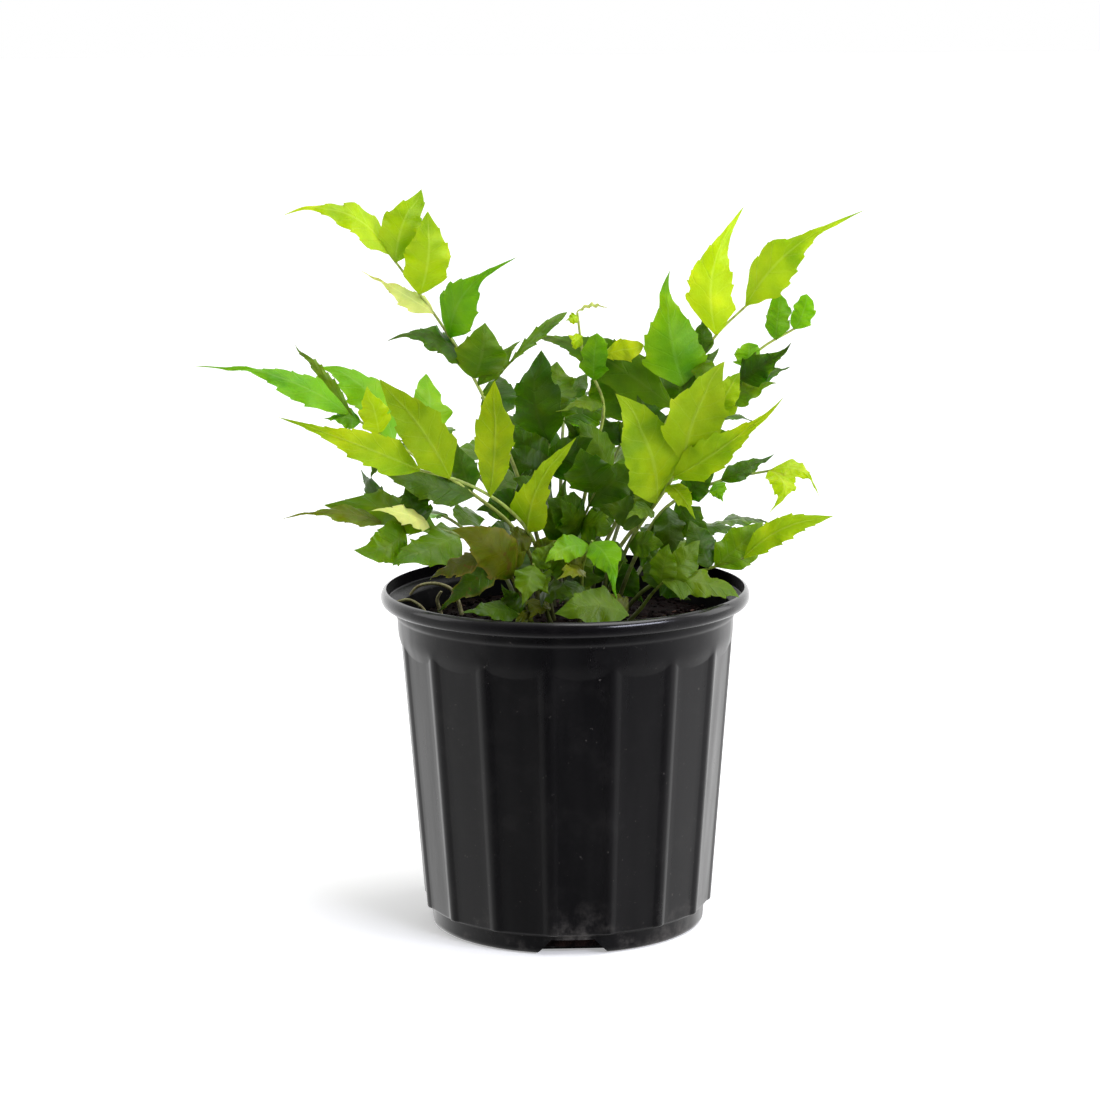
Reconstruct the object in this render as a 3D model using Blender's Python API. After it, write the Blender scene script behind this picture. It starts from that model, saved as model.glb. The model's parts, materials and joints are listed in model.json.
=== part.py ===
"""A potted holly fern: a black fluted nursery pot, its soil, the fronds and three old cut stipes.

Blender's metres, +Z up. The origin is the centre of the pot's foot, on the ground, and the pot's front,
with one drain notch, looks towards -Y. Tables of places are in millimetres and are scaled where they are
read.
"""

import math
import random
from collections import namedtuple

import bmesh
import bpy
from mathutils import Matrix, Vector
from mathutils.bvhtree import BVHTree

MM = 0.001

# Pot
POT_HEIGHT = 152 * MM
RIM_RADIUS = 82.5 * MM
MOUTH_RADIUS = 80.0 * MM
RIM_DEPTH = 7.5 * MM
COLLAR_RADIUS = 75.3 * MM
COLLAR_DEPTH = 22.7 * MM
RIDGE_DEPTH = 10.6 * MM
RIDGE_PROUD = 1.1 * MM
RIDGE_HALF_HEIGHT = 1.6 * MM
COLLAR_TUCK = 0.4 * MM
COLLAR_TUCK_HEIGHT = 2 * MM
COLLAR_FLARE = 0.9 * MM
RIM_ROUND = 1.5 * MM
FLUTE_TOP_RADIUS = 74.6 * MM
FLUTE_FOOT_RADIUS = 65.2 * MM
FOOT_RADIUS = 62.2 * MM
FOOT_HEIGHT = 8.2 * MM
FOOT_BEVEL = 1.2 * MM
FOOT_LEDGE = 0.8 * MM
FLUTES = 16
FLUTE_TURN = math.radians(4.6)
PANEL_HALF_ANGLE = math.radians(9.0)
RIB_HALF_ANGLE = math.radians(9.8)
PANEL_RECESS = 0.9 * MM
CRESCENT_SLOPE = 0.42
WALL = 2.4 * MM
FLOOR_TOP = 2.4 * MM
SHELF_DROP = 0.6 * MM
SHELF_STEP = 2 * MM
NOTCHES = 4
NOTCH_TURN = math.radians(2.0)
NOTCH_FOOT_WIDTH = 31 * MM
NOTCH_TOP_WIDTH = 19 * MM
NOTCH_HEIGHT = 6.5 * MM
NOTCH_REACH = (-9 * MM, 6 * MM)

# Soil
SOIL_GAP = 0.7 * MM
SOIL_LIFT = 0.4 * MM
SOIL_DEPTH = 18.5 * MM
SOIL_MOUND = 6 * MM
SOIL_ROUGHNESS = 0.8 * MM
SOIL_SIDES = 24
SOIL_RINGS = (1.0, 0.86, 0.68, 0.48, 0.24)

# Stems and blades
STIPE_RADIUS = 1.35 * MM
RACHIS_TIP_RADIUS = 0.65 * MM
STEM_SIDES = 5
STEM_STEP = 24 * MM
OLD_STIPE_RADIUS = 1.3 * MM
PLANTED_DEPTH = 10 * MM
HOLE_SIDES = 6
HOLE_GAP = 0.45 * MM
HOLE_ABOVE = 8 * MM
BLADE_THICKNESS = 0.8 * MM
BLADE_GAP = 0.5 * MM
BLADE_FOLD = 0.2
BLADE_RIPPLE = 0.13
RIPPLES = 2.4
RIPPLE_SHIFT = 2
RIB_STATIONS = (0, 0.22, 0.5, 0.76)
BLADE_ROOT_SINK = 0.5 * MM
BLADE_SEAT = 0.75
BLADE_FOOT = 0.15
STEM_END = 1.5 * MM

# A blade's toothed edge between its base and its tip, as pairs of the share of its length and the share of
# its half width
POINTED = ((0.07, 0.4), (0.23, 1.0), (0.3, 0.86), (0.46, 0.8), (0.53, 0.58), (0.74, 0.2))
OVAL = ((0.07, 0.36), (0.26, 1.0), (0.34, 0.92), (0.55, 0.96), (0.62, 0.76), (0.85, 0.36))
ROUND = ((0.1, 0.5), (0.28, 1.0), (0.42, 0.8), (0.62, 0.96), (0.74, 0.76), (0.9, 0.56))
SIMPLE = ((0.08, 0.4), (0.28, 1.0), (0.55, 0.8), (0.76, 0.28))
TAILED = ((0.07, 0.42), (0.22, 1.0), (0.4, 0.84), (0.54, 0.42), (0.66, 0.16))
BROAD = ((0.1, 0.36), (0.3, 0.84), (0.5, 1.0), (0.68, 0.92), (0.86, 0.42))
HEELED = ((0.05, 0.5), (0.14, 1.0), (0.3, 0.8), (0.5, 0.45), (0.75, 0.3))
CLUB = ((0.34, 0.16), (0.55, 0.8), (0.75, 1.0), (0.93, 0.6))
JAGGED = ((0.07, 0.42), (0.28, 1.06), (0.34, 0.68), (0.54, 0.96), (0.58, 0.56), (0.78, 0.5))

# The way a blade's visible side looks
FRONT = (0.0, -1.0, 0.25)
TILT = (0.0, -0.75, 0.7)

# Each frond: its rachis from the soil's surface to its last leaflet, then its leaflets. A leaflet has its
# place along the rachis (0 at the soil, 1 at the end), its tip, its width, its visible side, its outline, a
# tone ("under" shows the pale lower side) and how far its middle bows to its right, seen from the front.
FRONDS = {
    "upper_left": (
        ((-6, 8, 139), (-12, 12, 171), (-25, 18, 210), (-36, 24, 234), (-44, 27, 249), (-51, 28, 261),
         (-60, 29, 273), (-67, 30, 284), (-79, 30, 300)),
        (
            (1.0, (-125, 24, 316), 16, TILT, POINTED, "young", 0.17),
            (0.97, (-63, 32, 327), 18, FRONT, OVAL, "young", -0.08),
            (0.87, (-60, 22, 318), 21, FRONT, OVAL, "young", 0.04),
            (0.74, (-20, 16, 298), 21, FRONT, TAILED, "bright", -0.12),
            (0.81, (-91, 38, 290), 11, TILT, TAILED, "pale", -0.06),
            (0.66, (-79, 12, 261), 16, TILT, POINTED, "dark", 0.16),
            (0.62, (-35, 22, 268), 23, FRONT, OVAL, "mid", 0.04),
            (0.57, (2, 44, 270), 5, FRONT, CLUB, "mid", -0.04),
            (0.5, (-30, 40, 242), 16, TILT, OVAL, "dark", 0.05),
            (0.28, (-40, 14, 184), 16, FRONT, SIMPLE, "dark", 0.0),
        ),
    ),
    "left": (
        ((-12, -3, 139), (-15, -7, 167), (-30, -14, 189), (-48, -20, 202), (-68, -24, 218), (-85, -24, 226),
         (-95, -22, 234)),
        (
            (1.0, (-162, -20, 255), 15, TILT, TAILED, "bright", 0.0),
            (0.98, (-119, 6, 261), 5, TILT, SIMPLE, "mid", 0.0),
            (0.82, (-108, -10, 253), 18, TILT, OVAL, "bright", 0.1),
            (0.88, (-85, -38, 248), 13, FRONT, OVAL, "young", 0.0),
            (0.73, (-61, 2, 248), 22, FRONT, JAGGED, "bright", 0.02),
            (0.52, (-48, -10, 220), 13, FRONT, SIMPLE, "dark", 0.0),
            (0.5, (-81, -26, 209), 15, TILT, OVAL, "dark", -0.06),
        ),
    ),
    "left_front": (
        ((-5, -14, 139), (-10, -22, 159), (-16, -32, 184), (-26, -38, 195), (-36, -42, 202), (-50, -48, 210),
         (-65, -52, 214)),
        (
            (1.0, (-122, -60, 238), 17, FRONT, POINTED, "under", -0.02),
            (0.86, (-79, -52, 253), 20, FRONT, OVAL, "under", 0.03),
            (0.67, (-30, -44, 251), 17, FRONT, BROAD, "under", 0.07),
            (0.44, (5, -38, 225), 18, FRONT, HEELED, "under", -0.1),
        ),
    ),
    "lower_left": (
        ((-17, -8, 139), (-22, -12, 163), (-39, -17, 175), (-59, -22, 183), (-74, -26, 185), (-82, -28, 186)),
        (
            (1.0, (-124, -34, 189), 10, TILT, TAILED, "olive", 0.05),
            (0.9, (-91, 10, 204), 8, FRONT, SIMPLE, "dark", 0.0),
            (0.72, (-106, -20, 193), 17, TILT, OVAL, "mid", 0.04),
            (0.88, (-92, -42, 177), 17, FRONT, OVAL, "mid", -0.2),
            (0.6, (-75, -48, 171), 21, TILT, OVAL, "mid", -0.08),
            (0.8, (-70, -12, 199), 15, FRONT, OVAL, "dark", 0.0),
        ),
    ),
    "front_left": (
        ((-15, -22, 139), (-21, -34, 156), (-25, -42, 167), (-31, -49, 173), (-36, -52, 175)),
        (
            (0.6, (-49, -56, 188), 20, FRONT, OVAL, "old", 0.12),
            (0.8, (-56, -51, 151), 14, TILT, POINTED, "dark", 0.0),
            (0.99, (-59, -40, 163), 11, TILT, SIMPLE, "old", 0.0),
        ),
    ),
    "front": (
        ((-6, -26, 139), (-10, -32, 152), (-12, -40, 164), (-14, -46, 171)),
        (
            (1.0, (-19, -58, 155), 14, FRONT, SIMPLE, "mid", 0.0),
            (0.8, (-7, -58, 160), 12, FRONT, SIMPLE, "mid", 0.0),
            (0.92, (-5, -40, 180), 10, FRONT, SIMPLE, "mid", 0.0),
        ),
    ),
    "front_right": (
        ((6, -20, 139), (7, -26, 155), (8, -34, 170), (12, -42, 181)),
        (
            (1.0, (22, -62, 158), 15, FRONT, POINTED, "bright", -0.14),
            (0.91, (-9, -50, 172), 11, FRONT, OVAL, "bright", 0.12),
            (0.58, (-4, -62, 167), 9, TILT, SIMPLE, "olive", 0.0),
        ),
    ),
    "front_low": (
        ((16, -34, 139), (20, -44, 147), (24, -54, 150), (27, -60, 151)),
        (
            (1.0, (-5, -66, 153), 18, TILT, OVAL, "mid", 0.08),
            (0.92, (15, -60, 162), 10, FRONT, SIMPLE, "old", 0.0),
        ),
    ),
    "floor_left": (
        ((-20, -30, 139), (-19, -39, 146), (-21, -46, 149)),
        (
            (1.0, (-45, -58, 152), 13, TILT, SIMPLE, "dark", 0.0),
            (0.75, (-28, -44, 162), 10, FRONT, SIMPLE, "dark", 0.0),
        ),
    ),
    "centre_back": (
        ((-5, 16, 139), (-6, 18, 161), (-7, 26, 196), (-7, 32, 218), (-3, 34, 230)),
        (
            (0.8, (-10, 36, 254), 23, FRONT, OVAL, "dark", -0.08),
            (1.0, (-3, 40, 248), 17, FRONT, OVAL, "mid", 0.0),
            (0.92, (11, 40, 243), 13, TILT, OVAL, "mid", 0.0),
            (0.62, (-28, 14, 213), 18, FRONT, OVAL, "dark", 0.0),
            (0.66, (13, 12, 217), 17, FRONT, OVAL, "dark", 0.0),
            (0.48, (-23, 4, 200), 16, FRONT, OVAL, "dark", 0.0),
            (0.3, (1, 22, 198), 14, FRONT, SIMPLE, "dark", 0.0),
            (0.7, (-27, 20, 223), 15, FRONT, SIMPLE, "dark", 0.0),
            (0.4, (-28, 22, 193), 15, FRONT, SIMPLE, "dark", 0.0),
        ),
    ),
    "young_centre": (
        ((3, 20, 139), (3, 22, 160), (13, 27, 205), (18, 29, 229), (10, 30, 249), (7, 30, 261),
         (6, 30, 274)),
        (
            (1.0, (20, 24, 274), 2, TILT, SIMPLE, "pale", -0.1),
            (0.97, (1, 26, 268), 5, FRONT, SIMPLE, "young", 0.0),
            (0.88, (2, 26, 262), 7, FRONT, SIMPLE, "young", 0.0),
            (0.76, (15, 22, 263), 13, FRONT, ROUND, "bright", 0.0),
            (0.83, (36, 14, 259), 10, FRONT, CLUB, "young", 0.0),
            (0.67, (-4, 12, 229), 10, TILT, POINTED, "mid", 0.0),
            (0.5, (-1, 24, 224), 11, FRONT, SIMPLE, "dark", 0.0),
        ),
    ),
    "right_back": (
        ((9, 16, 139), (8, 18, 161), (19, 30, 195), (30, 40, 219), (38, 46, 233)),
        (
            (1.0, (47, 58, 248), 17, FRONT, OVAL, "dark", 0.0),
            (0.86, (12, 42, 253), 23, TILT, OVAL, "mid", 0.0),
            (0.9, (64, 48, 240), 16, TILT, OVAL, "dark", 0.0),
            (0.62, (7, 20, 224), 16, TILT, OVAL, "mid", 0.0),
            (0.74, (44, 34, 227), 15, TILT, POINTED, "mid", 0.0),
            (0.75, (18, 36, 223), 14, FRONT, SIMPLE, "dark", 0.0),
            (0.36, (25, 24, 185), 13, FRONT, SIMPLE, "dark", 0.0),
        ),
    ),
    "upper_right": (
        ((11, 7, 139), (15, 8, 162), (35, 14, 202), (47, 18, 226), (55, 20, 239), (61, 22, 250),
         (69, 22, 263), (76, 22, 272), (83, 22, 276)),
        (
            (1.0, (134, 14, 318), 21, FRONT, TAILED, "young", -0.06),
            (0.87, (81, 26, 319), 23, FRONT, POINTED, "young", -0.14),
            (0.7, (48, 30, 290), 30, FRONT, POINTED, "bright", -0.07),
            (0.63, (-15, 60, 258), 22, FRONT, POINTED, "mid", 0.06),
            (0.67, (70, 24, 256), 13, FRONT, SIMPLE, "dark", 0.0),
            (0.54, (33, 22, 235), 14, FRONT, SIMPLE, "dark", 0.0),
            (0.79, (66, 6, 236), 10, FRONT, SIMPLE, "mid", 0.0),
        ),
    ),
    "far_right": (
        ((16, 1, 139), (21, 2, 163), (51, 9, 203), (70, 13, 228), (79, 14, 245), (86, 14, 255), (94, 14, 263),
         (104, 14, 266)),
        (
            (0.93, (97, 18, 280), 11, FRONT, ROUND, "bright", 0.0),
            (1.0, (108, 12, 281), 10, FRONT, ROUND, "bright", 0.1),
            (0.82, (82, 8, 260), 13, FRONT, ROUND, "bright", 0.0),
            (0.78, (100, 4, 260), 15, FRONT, POINTED, "dark", 0.04),
            (0.75, (102, 24, 247), 11, TILT, POINTED, "dark", 0.06),
            (0.7, (95, 12, 241), 11, TILT, SIMPLE, "mid", 0.0),
            (0.64, (75, 16, 244), 11, FRONT, SIMPLE, "dark", 0.0),
        ),
    ),
    "right_front": (
        ((14, -13, 139), (25, -15, 167), (32, -21, 182), (41, -28, 196), (50, -34, 211), (59, -38, 225),
         (65, -38, 233)),
        (
            (0.57, (22, -38, 244), 28, FRONT, OVAL, "under", 0.06),
            (0.78, (69, -40, 258), 27, FRONT, OVAL, "under", -0.1),
            (0.71, (94, -50, 244), 17, FRONT, POINTED, "under", 0.05),
            (1.0, (76, -32, 252), 13, FRONT, OVAL, "under", 0.0),
            (0.66, (56, -52, 191), 10, FRONT, SIMPLE, "under", 0.0),
            (0.53, (26, -46, 190), 10, FRONT, SIMPLE, "mid", 0.0),
            (0.48, (16, -24, 193), 15, FRONT, SIMPLE, "dark", 0.0),
            (0.53, (32, -20, 204), 12, FRONT, SIMPLE, "mid", 0.0),
        ),
    ),
    "right": (
        ((21, -5, 139), (33, -5, 170), (44, -3, 187), (56, 0, 195), (70, 2, 199), (83, 2, 202),
         (94, 1, 204)),
        (
            (0.77, (94, 10, 210), 10, TILT, POINTED, "dark", 0.04),
            (1.0, (113, -6, 192), 11, TILT, TAILED, "young", -0.22),
            (0.98, (90, -14, 187), 13, FRONT, POINTED, "young", -0.3),
            (0.75, (70, -8, 191), 8, FRONT, SIMPLE, "bright", 0.0),
            (0.6, (67, -8, 206), 12, FRONT, OVAL, "dark", 0.0),
            (0.52, (46, -2, 163), 14, FRONT, OVAL, "dark", 0.0),
            (0.57, (66, 4, 164), 15, FRONT, POINTED, "dark", 0.0),
        ),
    ),
    "lower_right": (
        ((22, -15, 139), (33, -16, 153), (53, -21, 160), (63, -24, 165), (72, -26, 168), (80, -28, 170)),
        (
            (1.0, (117, -34, 189), 11, FRONT, OVAL, "under", -0.09),
            (0.78, (87, -20, 184), 18, FRONT, OVAL, "mid", 0.04),
            (0.73, (55, -14, 184), 15, FRONT, OVAL, "dark", 0.0),
        ),
    ),
    "floor_right": (
        ((26, -24, 139), (35, -30, 150), (40, -36, 159), (43, -40, 162)),
        (
            (1.0, (76, -24, 151), 16, TILT, JAGGED, "mid", -0.04),
            (0.88, (45, -38, 178), 12, FRONT, OVAL, "mid", 0.0),
            (0.96, (59, -30, 178), 13, FRONT, OVAL, "mid", 0.05),
            (0.78, (37, -22, 171), 10, FRONT, SIMPLE, "dark", 0.0),
        ),
    ),
    "middle": (
        ((1, -3, 139), (1, -4, 165), (8, -8, 183), (14, -12, 198)),
        (
            (1.0, (7, -16, 217), 20, FRONT, OVAL, "dark", 0.0),
            (0.86, (34, -10, 210), 18, FRONT, OVAL, "dark", 0.0),
            (0.73, (-8, -20, 195), 18, FRONT, OVAL, "dark", 0.0),
            (0.7, (21, -28, 183), 15, FRONT, OVAL, "mid", 0.0),
            (0.52, (19, -18, 173), 14, TILT, OVAL, "dark", 0.0),
        ),
    ),
}

# Fronds at the back, whose leaflets stand left and right in turn by a rule: the rachis, in millimetres, and
# the number of leaflets
BACK_FRONDS = {
    "back_left": (((-14, 14, 139), (-22, 28, 170), (-44, 58, 198), (-66, 86, 204), (-80, 106, 195)), 7),
    "back": (((-2, 24, 139), (-2, 42, 176), (0, 74, 216), (4, 104, 222), (8, 126, 208)), 7),
    "back_right": (((16, 18, 139), (24, 34, 172), (44, 62, 206), (62, 86, 214), (74, 104, 206)), 7),
    "side_left": (((-20, 6, 139), (-30, 18, 158), (-52, 38, 176), (-72, 54, 176)), 6),
    "side_right": (((24, 8, 139), (34, 20, 156), (56, 40, 172), (74, 54, 170)), 6),
}

FIRST_PAIR = 0.42
PAIR_REACH = 34
PAIR_WIDTHS = (0.42, 0.5)

# Old cut stipes that stand in the soil by the left wall
OLD_STIPES = (
    ((-46, 8, 136), (-50, 8, 148), (-58, 8, 152), (-66, 7, 151), (-70, 6, 147)),
    ((-54, -6, 136), (-56, -7, 143), (-57, -8, 148), (-55, -9, 152)),
    ((-60, -2, 135), (-64, -3, 143), (-70, -4, 147), (-76, -5, 146)),
)

# Where a leaflet may go to stay clear of the rest: further back or nearer, along the line of sight from the
# front, then smaller
SIGHT = Vector((0, 0.98, -0.19))
DEPTH_STEPS = (0, 4, -4, 8, -8, 12, -12, 17, -17, 22, -22, 28, -28, 34, -34)
SIZE_STEPS = (1, 0.86, 0.72, 0.58)
FACE_SPREAD = 0.35
ARCHES = (0.09, 0.16)
GUARD_SIDES = 48

TONES = {
    "young": (0.42, 0.62, 0.02),
    "bright": (0.24, 0.42, 0.02),
    "mid": (0.12, 0.26, 0.015),
    "dark": (0.03, 0.09, 0.012),
    "under": (0.3, 0.44, 0.05),
    "old": (0.25, 0.22, 0.02),
    "olive": (0.2, 0.26, 0.03),
    "pale": (0.5, 0.55, 0.25),
}

Leaf = namedtuple("Leaf", "base tip face width outline bend arch phase tone")


def vector(place):
    return Vector(place) * MM


def smooth_path(places, steps=14):
    """Points along a smooth curve through the places."""
    ends = [places[0] * 2 - places[1], *places, places[-1] * 2 - places[-2]]
    points = []
    for a, b, c, d in zip(ends, ends[1:], ends[2:], ends[3:]):
        for i in range(steps):
            t = i / steps
            square = (a * 2 - b * 5 + c * 4 - d) * t**2
            cube = (b * 3 - a - c * 3 + d) * t**3
            points.append((b * 2 + (c - a) * t + square + cube) / 2)
    return [*points, places[-1]]


def path_length(points):
    return sum((b - a).length for a, b in zip(points, points[1:]))


def along_path(points, share):
    """The point at this share of the path's length, and the way the path runs there."""
    left = share * path_length(points)
    for a, b in zip(points, points[1:]):
        length = (b - a).length
        if left <= length:
            break
        left -= length
    return a.lerp(b, min(left / length, 1)), (b - a).normalized()


def planted(points):
    """The stem's underground end, straight below its first stretch."""
    return points[0] - (points[1] - points[0]).normalized() * PLANTED_DEPTH


def tube(stations, radii, sides):
    """Points and faces of a closed round stem through the stations."""
    points = []
    faces = []
    turn = None
    for i, place in enumerate(stations):
        before = stations[max(i - 1, 0)]
        after = stations[min(i + 1, len(stations) - 1)]
        axis = (after - before).normalized()
        turn = axis.cross(Vector((0, 1, 0)) if turn is None else turn.cross(axis)).normalized()
        other = axis.cross(turn)
        for k in range(sides):
            angle = math.tau * k / sides
            points.append(place + (turn * math.cos(angle) + other * math.sin(angle)) * radii[i])
    for i in range(len(stations) - 1):
        for k in range(sides):
            a, b = i * sides + k, i * sides + (k + 1) % sides
            faces.append((a, b, b + sides, a + sides))
    faces.append(tuple(range(sides - 1, -1, -1)))
    faces.append(tuple(range(len(points) - sides, len(points))))
    return points, faces


def stem_path(places):
    """A frond's stipe and rachis as the few evenly spaced points that its stem is drawn through."""
    smooth = smooth_path([vector(place) for place in places])
    count = max(round(path_length(smooth) / STEM_STEP), 3)
    return [along_path(smooth, i / count)[0] for i in range(count + 1)]


def stem_radius(share):
    """A living stem's radius at this share of its length above the soil."""
    return STIPE_RADIUS + (RACHIS_TIP_RADIUS - STIPE_RADIUS) * share


def stem_shape(path):
    """A frond's stipe and rachis, from its end in the soil to its last leaflet."""
    radii = [STIPE_RADIUS] + [stem_radius(i / (len(path) - 1)) for i in range(len(path))]
    return tube([planted(path), *path], radii, STEM_SIDES)


def leaf_axes(leaf):
    """The blade's length, and its directions along, across and out of its upper side."""
    run = leaf.tip - leaf.base
    along = run.normalized()
    face = (leaf.face - along * leaf.face.dot(along)).normalized()
    return run.length, along, along.cross(face), face


def blade_point(leaf, axes, share, across):
    """A point of the blade's middle layer: arched along its rib, folded at it and waved at its edges."""
    length, along, side, face = axes
    bow = 4 * share * (1 - share)
    wave = math.sin(math.tau * RIPPLES * share + leaf.phase + (RIPPLE_SHIFT if across < 0 else 0))
    lift = bow * (leaf.arch * length - abs(across) * BLADE_FOLD) + abs(across) * BLADE_RIPPLE * wave
    return leaf.base + along * length * share + side * (leaf.bend * length * bow + across) + face * lift


def zip_chains(rib, edge):
    """Triangles between two chains of (share, index) that run from the base to the same tip."""
    faces = []
    i = j = 0
    while i + 1 < len(rib) or j + 1 < len(edge):
        step_rib = j + 1 == len(edge) or (i + 1 < len(rib) and rib[i + 1][0] < edge[j + 1][0])
        third = rib[i + 1][1] if step_rib else edge[j + 1][1]
        faces.append((rib[i][1], edge[j][1], third))
        i, j = (i + 1, j) if step_rib else (i, j + 1)
    return [face for face in faces if len(set(face)) == 3]


def blade_shape(leaf, grow=0.0):
    """Points and faces of one closed blade, split alike on both sides, with room for a gap round it."""
    axes = leaf_axes(leaf)
    half = leaf.width / 2
    places = [(share, 0.0) for share in RIB_STATIONS] + [(1 + grow / axes[0], 0.0)]
    tip = len(places) - 1
    rib = [(share, i) for i, (share, _) in enumerate(places)]
    edges = []
    for hand in (1, -1):
        chain = [(0, 0)]
        for share, width in leaf.outline:
            chain.append((share, len(places)))
            places.append((share, hand * (half * width + grow)))
        edges.append([*chain, (1, tip)])
    offset = axes[3] * (BLADE_THICKNESS / 2 + grow)
    middle = [blade_point(leaf, axes, share, across) for share, across in places]
    points = [point + offset for point in middle] + [point - offset for point in middle]
    count = len(places)
    upper = zip_chains(rib, edges[0]) + [face[::-1] for face in zip_chains(rib, edges[1])]
    lower = [tuple(i + count for i in face[::-1]) for face in upper]
    loop = [i for _, i in edges[0]] + [i for _, i in reversed(edges[1][1:-1])]
    walls = []
    for a, b in zip(loop, loop[1:] + loop[:1]):
        walls += [(a, b, b + count), (a, b + count, a + count)]
    return points, upper + lower + walls


def lathe(profile, sides):
    """Points and faces of an open turned surface through pairs of radius and height."""
    points = [
        Vector((radius * math.sin(math.tau * k / sides), -radius * math.cos(math.tau * k / sides), height))
        for radius, height in profile
        for k in range(sides)
    ]
    faces = [
        (i * sides + k, i * sides + (k + 1) % sides, (i + 1) * sides + (k + 1) % sides, (i + 1) * sides + k)
        for i in range(len(profile) - 1)
        for k in range(sides)
    ]
    return points, faces


def inner_wall():
    """The inner wall's upper and lower ends, as pairs of radius and height."""
    top = (COLLAR_RADIUS + COLLAR_FLARE - WALL, POT_HEIGHT - RIM_DEPTH - SHELF_DROP)
    return top, (FOOT_RADIUS - WALL, FLOOR_TOP)


def inner_radius(height):
    """The radius of the pot's inner wall."""
    top, foot = inner_wall()
    return foot[0] + (top[0] - foot[0]) * (height - foot[1]) / (top[1] - foot[1])


def soil_height(radius):
    """The soil's level before its roughness: a low mound, highest in the middle."""
    return POT_HEIGHT - SOIL_DEPTH + SOIL_MOUND * (1 - (radius / MOUTH_RADIUS) ** 2)


def pot_guard():
    """The pot's inner wall and rim, which no leaflet may touch."""
    top, foot = inner_wall()
    under = POT_HEIGHT - RIM_DEPTH
    profile = (foot, top, (MOUTH_RADIUS, under + SHELF_STEP), (MOUTH_RADIUS, POT_HEIGHT),
               (RIM_RADIUS, POT_HEIGHT), (RIM_RADIUS, under), (COLLAR_RADIUS, under))
    return lathe(profile, GUARD_SIDES)


def soil_guard():
    """A surface just over the soil."""
    radii = [MOUTH_RADIUS * share for share in SOIL_RINGS]
    return lathe([(radius, soil_height(radius) + 2 * SOIL_ROUGHNESS) for radius in radii], GUARD_SIDES)


def draw_leaf(rng):
    """A leaflet's own chances: its arch, the phase of its waves, and how it turns left, right, up or down."""
    return (rng.uniform(*ARCHES), rng.uniform(0, math.tau),
            Vector((rng.uniform(-1, 1), 0, rng.uniform(-0.5, 0.5))) * FACE_SPREAD)


def leaf_of(path, spec, chances, depth, size):
    """The leaflet of a table's row, moved along the line of sight and resized."""
    share, tip, width, face, outline, tone, bend = spec
    arch, phase, turn = chances
    share = min(share, 1 - STEM_END / path_length(path))
    front = Vector(face) + turn
    base = along_path(path, share)[0] + front.normalized() * stem_radius(share) * BLADE_SEAT
    tip = vector(tip) + SIGHT * depth * MM
    tip = base + (tip - base) * size
    base -= (tip - base).normalized() * BLADE_ROOT_SINK
    hand = -1 if tone == "under" else 1
    return Leaf(base, tip, front * hand, width * MM * size, outline, bend * hand, arch * hand, phase, tone)


def free_part(leaf):
    """The blade without its foot, where it may meet its own frond's other leaflets."""
    return BVHTree.FromPolygons(*blade_shape(leaf._replace(base=leaf.base.lerp(leaf.tip, BLADE_FOOT))))


def clear_leaf(path, spec, chances, others, own):
    """The leaflet in its first place clear of the rest, if possible also of its own frond's others."""
    for trees, sizes in ((own, (1,)), ([], SIZE_STEPS)):
        for size in sizes:
            for depth in DEPTH_STEPS:
                leaf = leaf_of(path, spec, chances, depth, size)
                fat = BVHTree.FromPolygons(*blade_shape(leaf, BLADE_GAP))
                free = free_part(leaf)
                hits = [tree for tree in others if fat.overlap(tree)]
                if not hits and not any(free.overlap(tree) for tree in trees):
                    return leaf
    return None


def paired_leaves(path, count, rng):
    """Rows for leaflets that stand left and right of the rachis in turn, the last one at its end."""
    rows = []
    for k in range(count):
        share = FIRST_PAIR + (1 - FIRST_PAIR) * k / (count - 1)
        place, way = along_path(path, share)
        level = way.cross(Vector((0, 0, 1))).normalized()
        over = level.cross(way)
        last = k == count - 1
        hand = 0 if last else (-1) ** k
        reach = PAIR_REACH * (1.15 - 0.35 * share) * rng.uniform(0.92, 1.08)
        ahead = way * (1 if last else 0.52) - over * rng.uniform(-0.1, 0.25)
        aim = (level * hand * 0.86 + ahead).normalized()
        tip = place / MM + aim * reach
        tone = rng.choice(("bright", "mid", "mid", "dark"))
        bend = 0 if last else hand * rng.uniform(0.03, 0.1)
        rows.append((share, tip, reach * rng.uniform(*PAIR_WIDTHS), over, SIMPLE, tone, bend))
    return rows


def grow_fronds():
    """Every frond's path and its leaflets, each clear of every other frond, the pot and the soil."""
    paths = {name: stem_path(spec[0]) for name, spec in (FRONDS | BACK_FRONDS).items()}
    stems = {name: BVHTree.FromPolygons(*stem_shape(path)) for name, path in paths.items()}
    fixed = [BVHTree.FromPolygons(*shape) for shape in (pot_guard(), soil_guard())]
    fixed += [BVHTree.FromPolygons(*stipe_shape(places)) for places in OLD_STIPES]
    blades = []
    fronds = {}
    for name, path in paths.items():
        rng = random.Random(name)
        rows = FRONDS[name][1] if name in FRONDS else paired_leaves(path, BACK_FRONDS[name][1], rng)
        others = [*fixed, *blades, *[tree for other, tree in stems.items() if other != name]]
        leaves = []
        own = []
        for row in rows:
            leaf = clear_leaf(path, row, draw_leaf(rng), others, own)
            if leaf:
                leaves.append(leaf)
                own.append(free_part(leaf))
                blades.append(BVHTree.FromPolygons(*blade_shape(leaf)))
        fronds[name] = (path, leaves)
    return fronds


def stipe_shape(places):
    """An old cut stipe, thinner than a living one."""
    path = smooth_path([vector(place) for place in places])
    stations = [planted(path)] + [along_path(path, i / 5)[0] for i in range(6)]
    return tube(stations, [OLD_STIPE_RADIUS] * len(stations), STEM_SIDES)


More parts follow.
